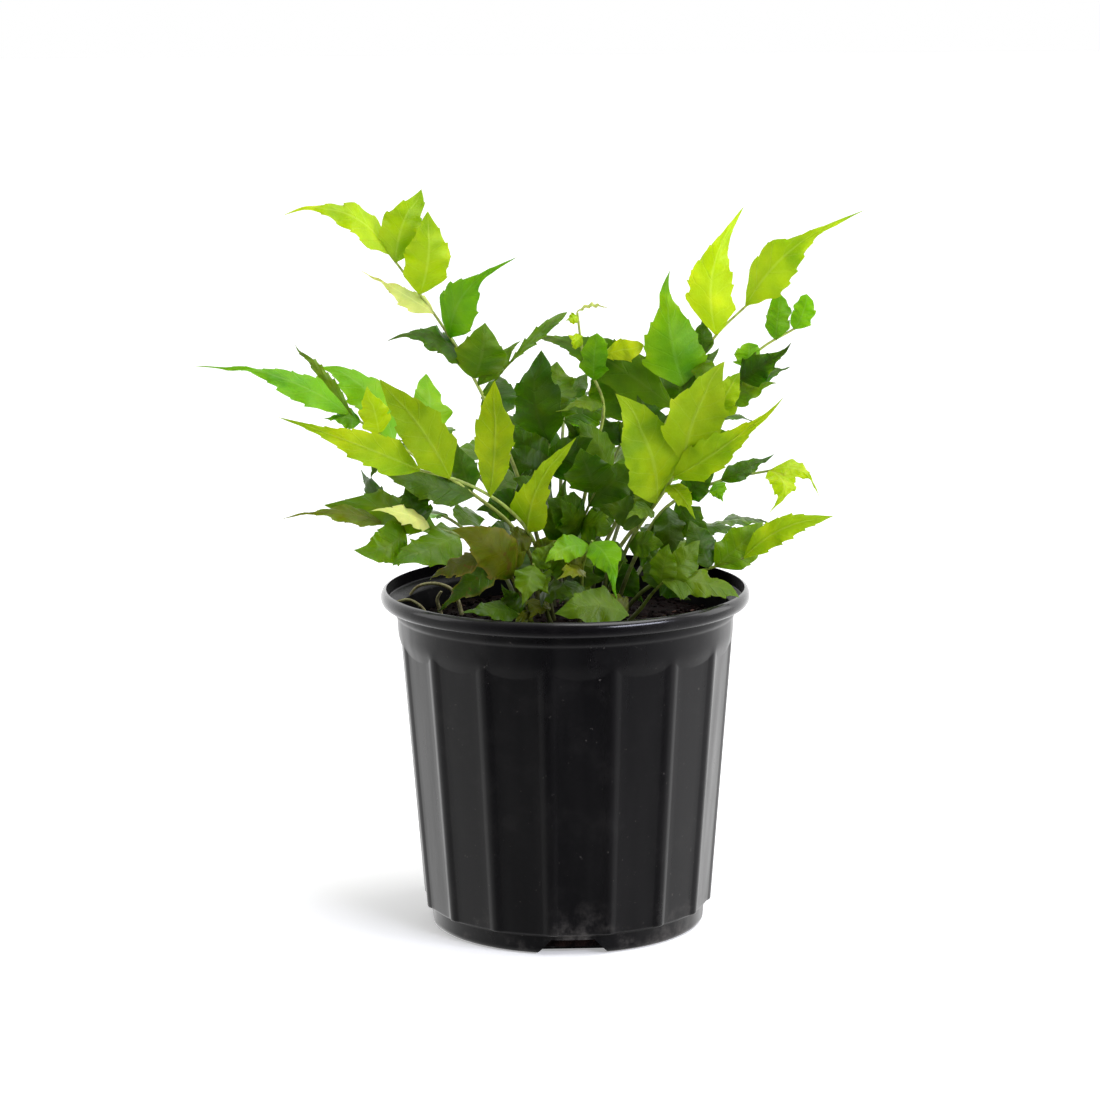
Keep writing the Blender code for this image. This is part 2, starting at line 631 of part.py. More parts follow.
def material(name, colour, roughness, metallic=0.0):
    made = bpy.data.materials.new(name)
    made.use_nodes = True
    shader = made.node_tree.nodes["Principled BSDF"]
    shader.inputs["Base Color"].default_value = (*colour, 1)
    shader.inputs["Roughness"].default_value = roughness
    shader.inputs["Metallic"].default_value = metallic
    made.diffuse_color = (*colour, 1)
    return made


def add_object(name, shape, finish, collection=None):
    """An object of these points and faces, its faces turned outwards."""
    mesh = bpy.data.meshes.new(name)
    work = bmesh.new()
    points = [work.verts.new(point) for point in shape[0]]
    for face in shape[1]:
        work.faces.new([points[i] for i in face])
    bmesh.ops.recalc_face_normals(work, faces=work.faces)
    work.to_mesh(mesh)
    work.free()
    mesh.materials.append(finish)
    obj = bpy.data.objects.new(name, mesh)
    (collection or bpy.context.scene.collection).objects.link(obj)
    return obj


def apply_boolean(obj, operation, solver, collection):
    """Joins the collection's objects to this one, or cuts them out of it, and removes them."""
    modifier = obj.modifiers.new("Boolean", "BOOLEAN")
    modifier.operand_type = "COLLECTION"
    modifier.operation = operation
    modifier.solver = solver
    modifier.collection = collection
    bpy.context.view_layer.objects.active = obj
    bpy.ops.object.modifier_apply(modifier=modifier.name)
    for tool in list(collection.objects):
        bpy.data.objects.remove(tool)
    bpy.data.collections.remove(collection)


def tool_collection(name):
    made = bpy.data.collections.new(name)
    bpy.context.scene.collection.children.link(made)
    return made


def pot_rings():
    """The pot's rings of points, from its foot up the outside, over the rim and down inside to the floor."""
    pitch = math.tau / FLUTES
    offsets = (-PANEL_HALF_ANGLE, 0, PANEL_HALF_ANGLE, RIB_HALF_ANGLE, pitch - RIB_HALF_ANGLE)
    angles = [FLUTE_TURN + pitch * k + offset for k in range(FLUTES) for offset in offsets]
    on_panel = [offset in offsets[:3] for _ in range(FLUTES) for offset in offsets]
    middle = [offset == 0 for _ in range(FLUTES) for offset in offsets]

    def ring(radius, height, fluted=False, slope=0.0):
        points = []
        for angle, panel, centre in zip(angles, on_panel, middle):
            flat = (radius - PANEL_RECESS) * (math.cos(PANEL_HALF_ANGLE) if centre else 1)
            r = flat if fluted and panel else radius
            z = height - (radius - r) / slope if slope else height
            points.append(Vector((r * math.sin(angle), -r * math.cos(angle), z)))
        return points

    under = POT_HEIGHT - RIM_DEPTH
    flute_top = POT_HEIGHT - COLLAR_DEPTH
    ridge = POT_HEIGHT - RIDGE_DEPTH
    return [
        ring(FOOT_RADIUS - FOOT_BEVEL, 0),
        ring(FOOT_RADIUS, FOOT_HEIGHT),
        ring(FLUTE_FOOT_RADIUS, FOOT_HEIGHT + FOOT_LEDGE, fluted=True),
        ring(FLUTE_TOP_RADIUS, flute_top, fluted=True, slope=CRESCENT_SLOPE),
        ring(COLLAR_RADIUS - COLLAR_TUCK, flute_top + COLLAR_TUCK_HEIGHT),
        ring(COLLAR_RADIUS, ridge - RIDGE_HALF_HEIGHT),
        ring(COLLAR_RADIUS + RIDGE_PROUD, ridge),
        ring(COLLAR_RADIUS, ridge + RIDGE_HALF_HEIGHT),
        ring(COLLAR_RADIUS + COLLAR_FLARE, under),
        ring(RIM_RADIUS, under),
        ring(RIM_RADIUS, POT_HEIGHT - RIM_ROUND),
        ring(RIM_RADIUS - RIM_ROUND / 2, POT_HEIGHT),
        ring(MOUTH_RADIUS + RIM_ROUND / 2, POT_HEIGHT),
        ring(MOUTH_RADIUS, POT_HEIGHT - RIM_ROUND),
        ring(MOUTH_RADIUS, under + SHELF_STEP),
        ring(*inner_wall()[0]),
        ring(*inner_wall()[1]),
    ]


def notch_cutters(finish):
    """Four wedges that cut the drain notches into the foot."""
    tools = tool_collection("notch_tools")
    foot, top = NOTCH_FOOT_WIDTH / 2, NOTCH_TOP_WIDTH / 2
    inner, outer = (FOOT_RADIUS + reach for reach in NOTCH_REACH)
    for k in range(NOTCHES):
        turn = Matrix.Rotation(NOTCH_TURN + math.tau * k / NOTCHES, 3, "Z")
        below = -NOTCH_HEIGHT / 3
        right = [(foot, below), (foot, 0), (top, NOTCH_HEIGHT)]
        outline = right + [(-x, z) for x, z in reversed(right)]
        points = [turn @ Vector((x, -depth, z)) for depth in (outer, inner) for x, z in outline]
        count = len(outline)
        faces = [tuple(range(count)), tuple(range(2 * count - 1, count - 1, -1))]
        faces += [(i, i + count, (i + 1) % count + count, (i + 1) % count) for i in range(count)]
        add_object(f"notch_tool_{k + 1}", (points, faces), finish, tools)
    return tools


def add_pot(finish):
    """The pot: one shell with flat flute panels, a rolled rim, a set-in foot and drain notches."""
    rings = pot_rings()[::-1]
    count = len(rings[0])
    points = [point for ring in rings for point in ring]
    faces = [tuple(range(count)), tuple(range(len(points) - 1, len(points) - count - 1, -1))]
    for i in range(len(rings) - 1):
        for k in range(count):
            a, b = i * count + k, i * count + (k + 1) % count
            faces.append((a, b, b + count, a + count))
    pot = add_object("pot", (points, faces), finish)
    apply_boolean(pot, "DIFFERENCE", "EXACT", notch_cutters(finish))
    pot.data.set_sharp_from_angle(angle=math.radians(28))
    return pot


def add_soil(finish, stems):
    """The soil: a rough low mound that fills the pot, with a plain hole for each stem."""
    rng = random.Random("soil")
    bottom = FLOOR_TOP + SOIL_LIFT
    edge = POT_HEIGHT - SOIL_DEPTH
    rings = [[(inner_radius(bottom) - SOIL_GAP, bottom)] * SOIL_SIDES]
    for i, share in enumerate(SOIL_RINGS):
        radius = (inner_radius(edge) - SOIL_GAP) * share
        rough = SOIL_ROUGHNESS if i else 0
        rings.append([(radius, soil_height(radius) + rng.uniform(-rough, rough)) for _ in range(SOIL_SIDES)])
    points = []
    for ring in rings:
        for k, (radius, height) in enumerate(ring):
            angle = math.tau * k / SOIL_SIDES
            points.append(Vector((radius * math.sin(angle), -radius * math.cos(angle), height)))
    faces = [tuple(range(SOIL_SIDES))]
    for i in range(len(rings) - 1):
        for k in range(SOIL_SIDES):
            a, b = i * SOIL_SIDES + k, i * SOIL_SIDES + (k + 1) % SOIL_SIDES
            faces += [(a, b, b + SOIL_SIDES), (a, b + SOIL_SIDES, a + SOIL_SIDES)]
    crown = len(points)
    points.append(Vector((0, 0, soil_height(0))))
    first = crown - SOIL_SIDES
    faces += [(first + k, first + (k + 1) % SOIL_SIDES, crown) for k in range(SOIL_SIDES)]
    soil = add_object("potting_soil", (points, faces), finish)
    tools = tool_collection("hole_tools")
    for k, (path, radius) in enumerate(stems):
        way = (path[1] - path[0]).normalized()
        ends = [planted(path) - way * HOLE_GAP, path[0] + way * HOLE_ABOVE]
        add_object(f"hole_tool_{k + 1}", tube(ends, [radius + HOLE_GAP] * 2, HOLE_SIDES), finish, tools)
    apply_boolean(soil, "DIFFERENCE", "EXACT", tools)
    return soil


def add_frond(name, path, leaves, finish):
    """One frond: its stem and every leaflet, joined in one body."""
    frond = add_object(f"frond_{name}", stem_shape(path), finish)
    tools = tool_collection("leaflet_tools")
    for k, leaf in enumerate(leaves):
        add_object(f"leaflet_{k + 1}", blade_shape(leaf), finish, tools)
    apply_boolean(frond, "UNION", "EXACT", tools)
    return frond


def main():
    for obj in list(bpy.data.objects):
        bpy.data.objects.remove(obj)
    plastic = material("black_plastic", (0.017, 0.016, 0.018), 0.34)
    peat = material("peat", (0.02, 0.013, 0.01), 0.95)
    straw = material("old_stipe", (0.42, 0.4, 0.22), 0.7)
    finishes = {tone: material(f"leaf_{tone}", colour, 0.4) for tone, colour in TONES.items()}
    whole = bpy.data.objects.new("potted_holly_fern", None)
    bpy.context.scene.collection.objects.link(whole)

    fronds = grow_fronds()
    stipes = [smooth_path([vector(place) for place in places]) for places in OLD_STIPES]
    stems = [(path, STIPE_RADIUS) for path, _ in fronds.values()]
    stems += [(path, OLD_STIPE_RADIUS) for path in stipes]
    pieces = [add_pot(plastic), add_soil(peat, stems)]
    for k, places in enumerate(OLD_STIPES):
        pieces.append(add_object(f"old_stipe_{k + 1}", stipe_shape(places), straw))
    for name, (path, leaves) in fronds.items():
        pieces.append(add_frond(name, path, leaves, finishes[leaves[0].tone]))
    for piece in pieces:
        piece.parent = whole


main()
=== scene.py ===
"""The looks of a potted holly fern: fine leaflets, stems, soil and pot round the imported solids.

Blender's metres, +Z up, in the solids' own frame. Tables of places are in millimetres and are scaled where
they are read. The fronds are grown again by the same rules and the same draws as the solids, so that each
fine leaflet lies where its solid does.
"""

import json
import math
import random
from collections import namedtuple

import bmesh
import bpy
import numpy as np
from mathutils import Matrix, Vector, noise
from mathutils.bvhtree import BVHTree

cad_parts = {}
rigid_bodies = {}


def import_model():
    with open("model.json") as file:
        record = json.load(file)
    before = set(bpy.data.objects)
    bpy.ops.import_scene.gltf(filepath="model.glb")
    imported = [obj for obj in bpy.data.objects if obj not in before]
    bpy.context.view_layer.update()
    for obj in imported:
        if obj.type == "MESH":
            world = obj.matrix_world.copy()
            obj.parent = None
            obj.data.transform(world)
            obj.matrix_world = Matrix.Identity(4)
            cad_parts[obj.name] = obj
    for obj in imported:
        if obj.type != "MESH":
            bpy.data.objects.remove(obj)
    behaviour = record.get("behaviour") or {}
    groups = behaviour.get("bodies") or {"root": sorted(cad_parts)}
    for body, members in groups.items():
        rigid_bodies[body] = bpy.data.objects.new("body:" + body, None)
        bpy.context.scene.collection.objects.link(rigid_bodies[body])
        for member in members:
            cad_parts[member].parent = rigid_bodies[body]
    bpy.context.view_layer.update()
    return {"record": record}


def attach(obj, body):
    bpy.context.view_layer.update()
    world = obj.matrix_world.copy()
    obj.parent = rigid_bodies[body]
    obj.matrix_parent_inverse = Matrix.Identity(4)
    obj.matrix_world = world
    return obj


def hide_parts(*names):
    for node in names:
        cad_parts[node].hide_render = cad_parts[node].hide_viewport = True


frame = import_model()

MM = 0.001

# Pot
POT_HEIGHT = 152 * MM
RIM_RADIUS = 82.5 * MM
MOUTH_RADIUS = 80.0 * MM
RIM_DEPTH = 7.5 * MM
COLLAR_RADIUS = 75.3 * MM
COLLAR_DEPTH = 22.7 * MM
RIDGE_DEPTH = 10.6 * MM
RIDGE_PROUD = 1.1 * MM
RIDGE_HALF_HEIGHT = 1.6 * MM
COLLAR_TUCK = 0.4 * MM
COLLAR_TUCK_HEIGHT = 2 * MM
COLLAR_FLARE = 0.9 * MM
FLUTE_TOP_RADIUS = 74.6 * MM
FLUTE_FOOT_RADIUS = 65.2 * MM
FOOT_RADIUS = 62.2 * MM
FOOT_HEIGHT = 8.2 * MM
FOOT_BEVEL = 1.2 * MM
FOOT_LEDGE = 0.8 * MM
FLUTES = 16
FLUTE_TURN = math.radians(4.6)
PANEL_HALF_ANGLE = math.radians(9.0)
RIB_HALF_ANGLE = math.radians(9.8)
PANEL_RECESS = 0.9 * MM
CRESCENT_SLOPE = 0.42
WALL = 2.4 * MM
FLOOR_TOP = 2.4 * MM
SHELF_DROP = 0.6 * MM
SHELF_STEP = 2 * MM
NOTCHES = 4
NOTCH_TURN = math.radians(2.0)
NOTCH_FOOT_WIDTH = 31 * MM
NOTCH_TOP_WIDTH = 19 * MM
NOTCH_HEIGHT = 6.5 * MM
NOTCH_REACH = (-9 * MM, 6 * MM)

# Soil
SOIL_GAP = 0.7 * MM
SOIL_LIFT = 0.4 * MM
SOIL_DEPTH = 18.5 * MM
SOIL_MOUND = 6 * MM
SOIL_ROUGHNESS = 0.8 * MM
SOIL_RINGS = (1.0, 0.86, 0.68, 0.48, 0.24)

# Stems and blades
STIPE_RADIUS = 1.35 * MM
RACHIS_TIP_RADIUS = 0.65 * MM
STEM_SIDES = 5
STEM_STEP = 24 * MM
OLD_STIPE_RADIUS = 1.3 * MM
PLANTED_DEPTH = 10 * MM
BLADE_THICKNESS = 0.8 * MM
BLADE_GAP = 0.5 * MM
BLADE_FOLD = 0.2
BLADE_RIPPLE = 0.13
RIPPLES = 2.4
RIPPLE_SHIFT = 2
RIB_STATIONS = (0, 0.22, 0.5, 0.76)
BLADE_ROOT_SINK = 0.5 * MM
BLADE_SEAT = 0.75
BLADE_FOOT = 0.15
STEM_END = 1.5 * MM

# A blade's toothed edge between its base and its tip, as pairs of the share of its length and the share of
# its half width
POINTED = ((0.07, 0.4), (0.23, 1.0), (0.3, 0.86), (0.46, 0.8), (0.53, 0.58), (0.74, 0.2))
OVAL = ((0.07, 0.36), (0.26, 1.0), (0.34, 0.92), (0.55, 0.96), (0.62, 0.76), (0.85, 0.36))
ROUND = ((0.1, 0.5), (0.28, 1.0), (0.42, 0.8), (0.62, 0.96), (0.74, 0.76), (0.9, 0.56))
SIMPLE = ((0.08, 0.4), (0.28, 1.0), (0.55, 0.8), (0.76, 0.28))
TAILED = ((0.07, 0.42), (0.22, 1.0), (0.4, 0.84), (0.54, 0.42), (0.66, 0.16))
BROAD = ((0.1, 0.36), (0.3, 0.84), (0.5, 1.0), (0.68, 0.92), (0.86, 0.42))
HEELED = ((0.05, 0.5), (0.14, 1.0), (0.3, 0.8), (0.5, 0.45), (0.75, 0.3))
CLUB = ((0.34, 0.16), (0.55, 0.8), (0.75, 1.0), (0.93, 0.6))
JAGGED = ((0.07, 0.42), (0.28, 1.06), (0.34, 0.68), (0.54, 0.96), (0.58, 0.56), (0.78, 0.5))

# The way a blade's visible side looks
FRONT = (0.0, -1.0, 0.25)
TILT = (0.0, -0.75, 0.7)

# Each frond: its rachis from the soil's surface to its last leaflet, then its leaflets. A leaflet has its
# place along the rachis (0 at the soil, 1 at the end), its tip, its width, its visible side, its outline, a
# tone ("under" shows the pale lower side; "dark" is painted shade, a green darkened to stand for the shade
# deep in the plant) and how far its middle bows to its right, seen from the front.
FRONDS = {
    "upper_left": (
        ((-6, 8, 139), (-12, 12, 171), (-25, 18, 210), (-36, 24, 234), (-44, 27, 249), (-51, 28, 261),
         (-60, 29, 273), (-67, 30, 284), (-79, 30, 300)),
        ((1.0, (-125, 24, 316), 16, TILT, POINTED, "young", 0.17),
         (0.97, (-63, 32, 327), 18, FRONT, OVAL, "young", -0.08),
         (0.87, (-60, 22, 318), 21, FRONT, OVAL, "young", 0.04),
         (0.74, (-20, 16, 298), 21, FRONT, TAILED, "bright", -0.12),
         (0.81, (-91, 38, 290), 11, TILT, TAILED, "pale", -0.06),
         (0.66, (-79, 12, 261), 16, TILT, POINTED, "dark", 0.16),
         (0.62, (-35, 22, 268), 23, FRONT, OVAL, "mid", 0.04),
         (0.57, (2, 44, 270), 5, FRONT, CLUB, "mid", -0.04),
         (0.5, (-30, 40, 242), 16, TILT, OVAL, "dark", 0.05),
         (0.28, (-40, 14, 184), 16, FRONT, SIMPLE, "dark", 0.0))),
    "left": (
        ((-12, -3, 139), (-15, -7, 167), (-30, -14, 189), (-48, -20, 202), (-68, -24, 218), (-85, -24, 226),
         (-95, -22, 234)),
        ((1.0, (-162, -20, 255), 15, TILT, TAILED, "bright", 0.0),
         (0.98, (-119, 6, 261), 5, TILT, SIMPLE, "mid", 0.0),
         (0.82, (-108, -10, 253), 18, TILT, OVAL, "bright", 0.1),
         (0.88, (-85, -38, 248), 13, FRONT, OVAL, "young", 0.0),
         (0.73, (-61, 2, 248), 22, FRONT, JAGGED, "bright", 0.02),
         (0.52, (-48, -10, 220), 13, FRONT, SIMPLE, "dark", 0.0),
         (0.5, (-81, -26, 209), 15, TILT, OVAL, "dark", -0.06))),
    "left_front": (
        ((-5, -14, 139), (-10, -22, 159), (-16, -32, 184), (-26, -38, 195), (-36, -42, 202), (-50, -48, 210),
         (-65, -52, 214)),
        ((1.0, (-122, -60, 238), 17, FRONT, POINTED, "under", -0.02),
         (0.86, (-79, -52, 253), 20, FRONT, OVAL, "under", 0.03),
         (0.67, (-30, -44, 251), 17, FRONT, BROAD, "under", 0.07),
         (0.44, (5, -38, 225), 18, FRONT, HEELED, "under", -0.1))),
    "lower_left": (
        ((-17, -8, 139), (-22, -12, 163), (-39, -17, 175), (-59, -22, 183), (-74, -26, 185), (-82, -28, 186)),
        ((1.0, (-124, -34, 189), 10, TILT, TAILED, "olive", 0.05),
         (0.9, (-91, 10, 204), 8, FRONT, SIMPLE, "dark", 0.0),
         (0.72, (-106, -20, 193), 17, TILT, OVAL, "mid", 0.04),
         (0.88, (-92, -42, 177), 17, FRONT, OVAL, "mid", -0.2),
         (0.6, (-75, -48, 171), 21, TILT, OVAL, "mid", -0.08),
         (0.8, (-70, -12, 199), 15, FRONT, OVAL, "dark", 0.0))),
    "front_left": (
        ((-15, -22, 139), (-21, -34, 156), (-25, -42, 167), (-31, -49, 173), (-36, -52, 175)),
        ((0.6, (-49, -56, 188), 20, FRONT, OVAL, "old", 0.12),
         (0.8, (-56, -51, 151), 14, TILT, POINTED, "dark", 0.0),
         (0.99, (-59, -40, 163), 11, TILT, SIMPLE, "old", 0.0))),
    "front": (
        ((-6, -26, 139), (-10, -32, 152), (-12, -40, 164), (-14, -46, 171)),
        ((1.0, (-19, -58, 155), 14, FRONT, SIMPLE, "mid", 0.0),
         (0.8, (-7, -58, 160), 12, FRONT, SIMPLE, "mid", 0.0),
         (0.92, (-5, -40, 180), 10, FRONT, SIMPLE, "mid", 0.0))),
    "front_right": (
        ((6, -20, 139), (7, -26, 155), (8, -34, 170), (12, -42, 181)),
        ((1.0, (22, -62, 158), 15, FRONT, POINTED, "bright", -0.14),
         (0.91, (-9, -50, 172), 11, FRONT, OVAL, "bright", 0.12),
         (0.58, (-4, -62, 167), 9, TILT, SIMPLE, "olive", 0.0))),
    "front_low": (
        ((16, -34, 139), (20, -44, 147), (24, -54, 150), (27, -60, 151)),
        ((1.0, (-5, -66, 153), 18, TILT, OVAL, "mid", 0.08),
         (0.92, (15, -60, 162), 10, FRONT, SIMPLE, "old", 0.0))),
    "floor_left": (
        ((-20, -30, 139), (-19, -39, 146), (-21, -46, 149)),
        ((1.0, (-45, -58, 152), 13, TILT, SIMPLE, "dark", 0.0),
         (0.75, (-28, -44, 162), 10, FRONT, SIMPLE, "dark", 0.0))),
    "centre_back": (
        ((-5, 16, 139), (-6, 18, 161), (-7, 26, 196), (-7, 32, 218), (-3, 34, 230)),
        ((0.8, (-10, 36, 254), 23, FRONT, OVAL, "dark", -0.08),
         (1.0, (-3, 40, 248), 17, FRONT, OVAL, "mid", 0.0),
         (0.92, (11, 40, 243), 13, TILT, OVAL, "mid", 0.0),
         (0.62, (-28, 14, 213), 18, FRONT, OVAL, "dark", 0.0),
         (0.66, (13, 12, 217), 17, FRONT, OVAL, "dark", 0.0),
         (0.48, (-23, 4, 200), 16, FRONT, OVAL, "dark", 0.0),
         (0.3, (1, 22, 198), 14, FRONT, SIMPLE, "dark", 0.0),
         (0.7, (-27, 20, 223), 15, FRONT, SIMPLE, "dark", 0.0),
         (0.4, (-28, 22, 193), 15, FRONT, SIMPLE, "dark", 0.0))),
    "young_centre": (
        ((3, 20, 139), (3, 22, 160), (13, 27, 205), (18, 29, 229), (10, 30, 249), (7, 30, 261),
         (6, 30, 274)),
        ((1.0, (20, 24, 274), 2, TILT, SIMPLE, "pale", -0.1),
         (0.97, (1, 26, 268), 5, FRONT, SIMPLE, "young", 0.0),
         (0.88, (2, 26, 262), 7, FRONT, SIMPLE, "young", 0.0),
         (0.76, (15, 22, 263), 13, FRONT, ROUND, "bright", 0.0),
         (0.83, (36, 14, 259), 10, FRONT, CLUB, "young", 0.0),
         (0.67, (-4, 12, 229), 10, TILT, POINTED, "mid", 0.0),
         (0.5, (-1, 24, 224), 11, FRONT, SIMPLE, "dark", 0.0))),
    "right_back": (
        ((9, 16, 139), (8, 18, 161), (19, 30, 195), (30, 40, 219), (38, 46, 233)),
        ((1.0, (47, 58, 248), 17, FRONT, OVAL, "dark", 0.0),
         (0.86, (12, 42, 253), 23, TILT, OVAL, "mid", 0.0),
         (0.9, (64, 48, 240), 16, TILT, OVAL, "dark", 0.0),
         (0.62, (7, 20, 224), 16, TILT, OVAL, "mid", 0.0),
         (0.74, (44, 34, 227), 15, TILT, POINTED, "mid", 0.0),
         (0.75, (18, 36, 223), 14, FRONT, SIMPLE, "dark", 0.0),
         (0.36, (25, 24, 185), 13, FRONT, SIMPLE, "dark", 0.0))),
    "upper_right": (
        ((11, 7, 139), (15, 8, 162), (35, 14, 202), (47, 18, 226), (55, 20, 239), (61, 22, 250),
         (69, 22, 263), (76, 22, 272), (83, 22, 276)),
        ((1.0, (134, 14, 318), 21, FRONT, TAILED, "young", -0.06),
         (0.87, (81, 26, 319), 23, FRONT, POINTED, "young", -0.14),
         (0.7, (48, 30, 290), 30, FRONT, POINTED, "bright", -0.07),
         (0.63, (-15, 60, 258), 22, FRONT, POINTED, "mid", 0.06),
         (0.67, (70, 24, 256), 13, FRONT, SIMPLE, "dark", 0.0),
         (0.54, (33, 22, 235), 14, FRONT, SIMPLE, "dark", 0.0),
         (0.79, (66, 6, 236), 10, FRONT, SIMPLE, "mid", 0.0))),
    "far_right": (
        ((16, 1, 139), (21, 2, 163), (51, 9, 203), (70, 13, 228), (79, 14, 245), (86, 14, 255), (94, 14, 263),
         (104, 14, 266)),
        ((0.93, (97, 18, 280), 11, FRONT, ROUND, "bright", 0.0),
         (1.0, (108, 12, 281), 10, FRONT, ROUND, "bright", 0.1),
         (0.82, (82, 8, 260), 13, FRONT, ROUND, "bright", 0.0),
         (0.78, (100, 4, 260), 15, FRONT, POINTED, "dark", 0.04),
         (0.75, (102, 24, 247), 11, TILT, POINTED, "dark", 0.06),
         (0.7, (95, 12, 241), 11, TILT, SIMPLE, "mid", 0.0),
         (0.64, (75, 16, 244), 11, FRONT, SIMPLE, "dark", 0.0))),
    "right_front": (
        ((14, -13, 139), (25, -15, 167), (32, -21, 182), (41, -28, 196), (50, -34, 211), (59, -38, 225),
         (65, -38, 233)),
        ((0.57, (22, -38, 244), 28, FRONT, OVAL, "under", 0.06),
         (0.78, (69, -40, 258), 27, FRONT, OVAL, "under", -0.1),
         (0.71, (94, -50, 244), 17, FRONT, POINTED, "under", 0.05),
         (1.0, (76, -32, 252), 13, FRONT, OVAL, "under", 0.0),
         (0.66, (56, -52, 191), 10, FRONT, SIMPLE, "under", 0.0),
         (0.53, (26, -46, 190), 10, FRONT, SIMPLE, "mid", 0.0),
         (0.48, (16, -24, 193), 15, FRONT, SIMPLE, "dark", 0.0),
         (0.53, (32, -20, 204), 12, FRONT, SIMPLE, "mid", 0.0))),
    "right": (
        ((21, -5, 139), (33, -5, 170), (44, -3, 187), (56, 0, 195), (70, 2, 199), (83, 2, 202),
         (94, 1, 204)),
        ((0.77, (94, 10, 210), 10, TILT, POINTED, "dark", 0.04),
         (1.0, (113, -6, 192), 11, TILT, TAILED, "young", -0.22),
         (0.98, (90, -14, 187), 13, FRONT, POINTED, "young", -0.3),
         (0.75, (70, -8, 191), 8, FRONT, SIMPLE, "bright", 0.0),
         (0.6, (67, -8, 206), 12, FRONT, OVAL, "dark", 0.0),
         (0.52, (46, -2, 163), 14, FRONT, OVAL, "dark", 0.0),
         (0.57, (66, 4, 164), 15, FRONT, POINTED, "dark", 0.0))),
    "lower_right": (
        ((22, -15, 139), (33, -16, 153), (53, -21, 160), (63, -24, 165), (72, -26, 168), (80, -28, 170)),
        ((1.0, (117, -34, 189), 11, FRONT, OVAL, "under", -0.09),
         (0.78, (87, -20, 184), 18, FRONT, OVAL, "mid", 0.04),
         (0.73, (55, -14, 184), 15, FRONT, OVAL, "dark", 0.0))),
    "floor_right": (
        ((26, -24, 139), (35, -30, 150), (40, -36, 159), (43, -40, 162)),
        ((1.0, (76, -24, 151), 16, TILT, JAGGED, "mid", -0.04),
         (0.88, (45, -38, 178), 12, FRONT, OVAL, "mid", 0.0),
         (0.96, (59, -30, 178), 13, FRONT, OVAL, "mid", 0.05),
         (0.78, (37, -22, 171), 10, FRONT, SIMPLE, "dark", 0.0))),
    "middle": (
        ((1, -3, 139), (1, -4, 165), (8, -8, 183), (14, -12, 198)),
        ((1.0, (7, -16, 217), 20, FRONT, OVAL, "dark", 0.0),
         (0.86, (34, -10, 210), 18, FRONT, OVAL, "dark", 0.0),
         (0.73, (-8, -20, 195), 18, FRONT, OVAL, "dark", 0.0),
         (0.7, (21, -28, 183), 15, FRONT, OVAL, "mid", 0.0),
         (0.52, (19, -18, 173), 14, TILT, OVAL, "dark", 0.0))),
}

# Fronds at the back, whose leaflets stand left and right in turn by a rule: the rachis, in millimetres, and
# the number of leaflets
BACK_FRONDS = {
    "back_left": (((-14, 14, 139), (-22, 28, 170), (-44, 58, 198), (-66, 86, 204), (-80, 106, 195)), 7),
    "back": (((-2, 24, 139), (-2, 42, 176), (0, 74, 216), (4, 104, 222), (8, 126, 208)), 7),
    "back_right": (((16, 18, 139), (24, 34, 172), (44, 62, 206), (62, 86, 214), (74, 104, 206)), 7),
    "side_left": (((-20, 6, 139), (-30, 18, 158), (-52, 38, 176), (-72, 54, 176)), 6),
    "side_right": (((24, 8, 139), (34, 20, 156), (56, 40, 172), (74, 54, 170)), 6),
}

# The rule: where along the rachis the first leaflet stands, how far leaflets reach in millimetres, and the
# limits of their widths as shares of that
FIRST_PAIR = 0.42
PAIR_REACH = 34
PAIR_WIDTHS = (0.42, 0.5)

# Old cut stipes that stand in the soil by the left wall
OLD_STIPES = (
    ((-46, 8, 136), (-50, 8, 148), (-58, 8, 152), (-66, 7, 151), (-70, 6, 147)),
    ((-54, -6, 136), (-56, -7, 143), (-57, -8, 148), (-55, -9, 152)),
    ((-60, -2, 135), (-64, -3, 143), (-70, -4, 147), (-76, -5, 146)),
)
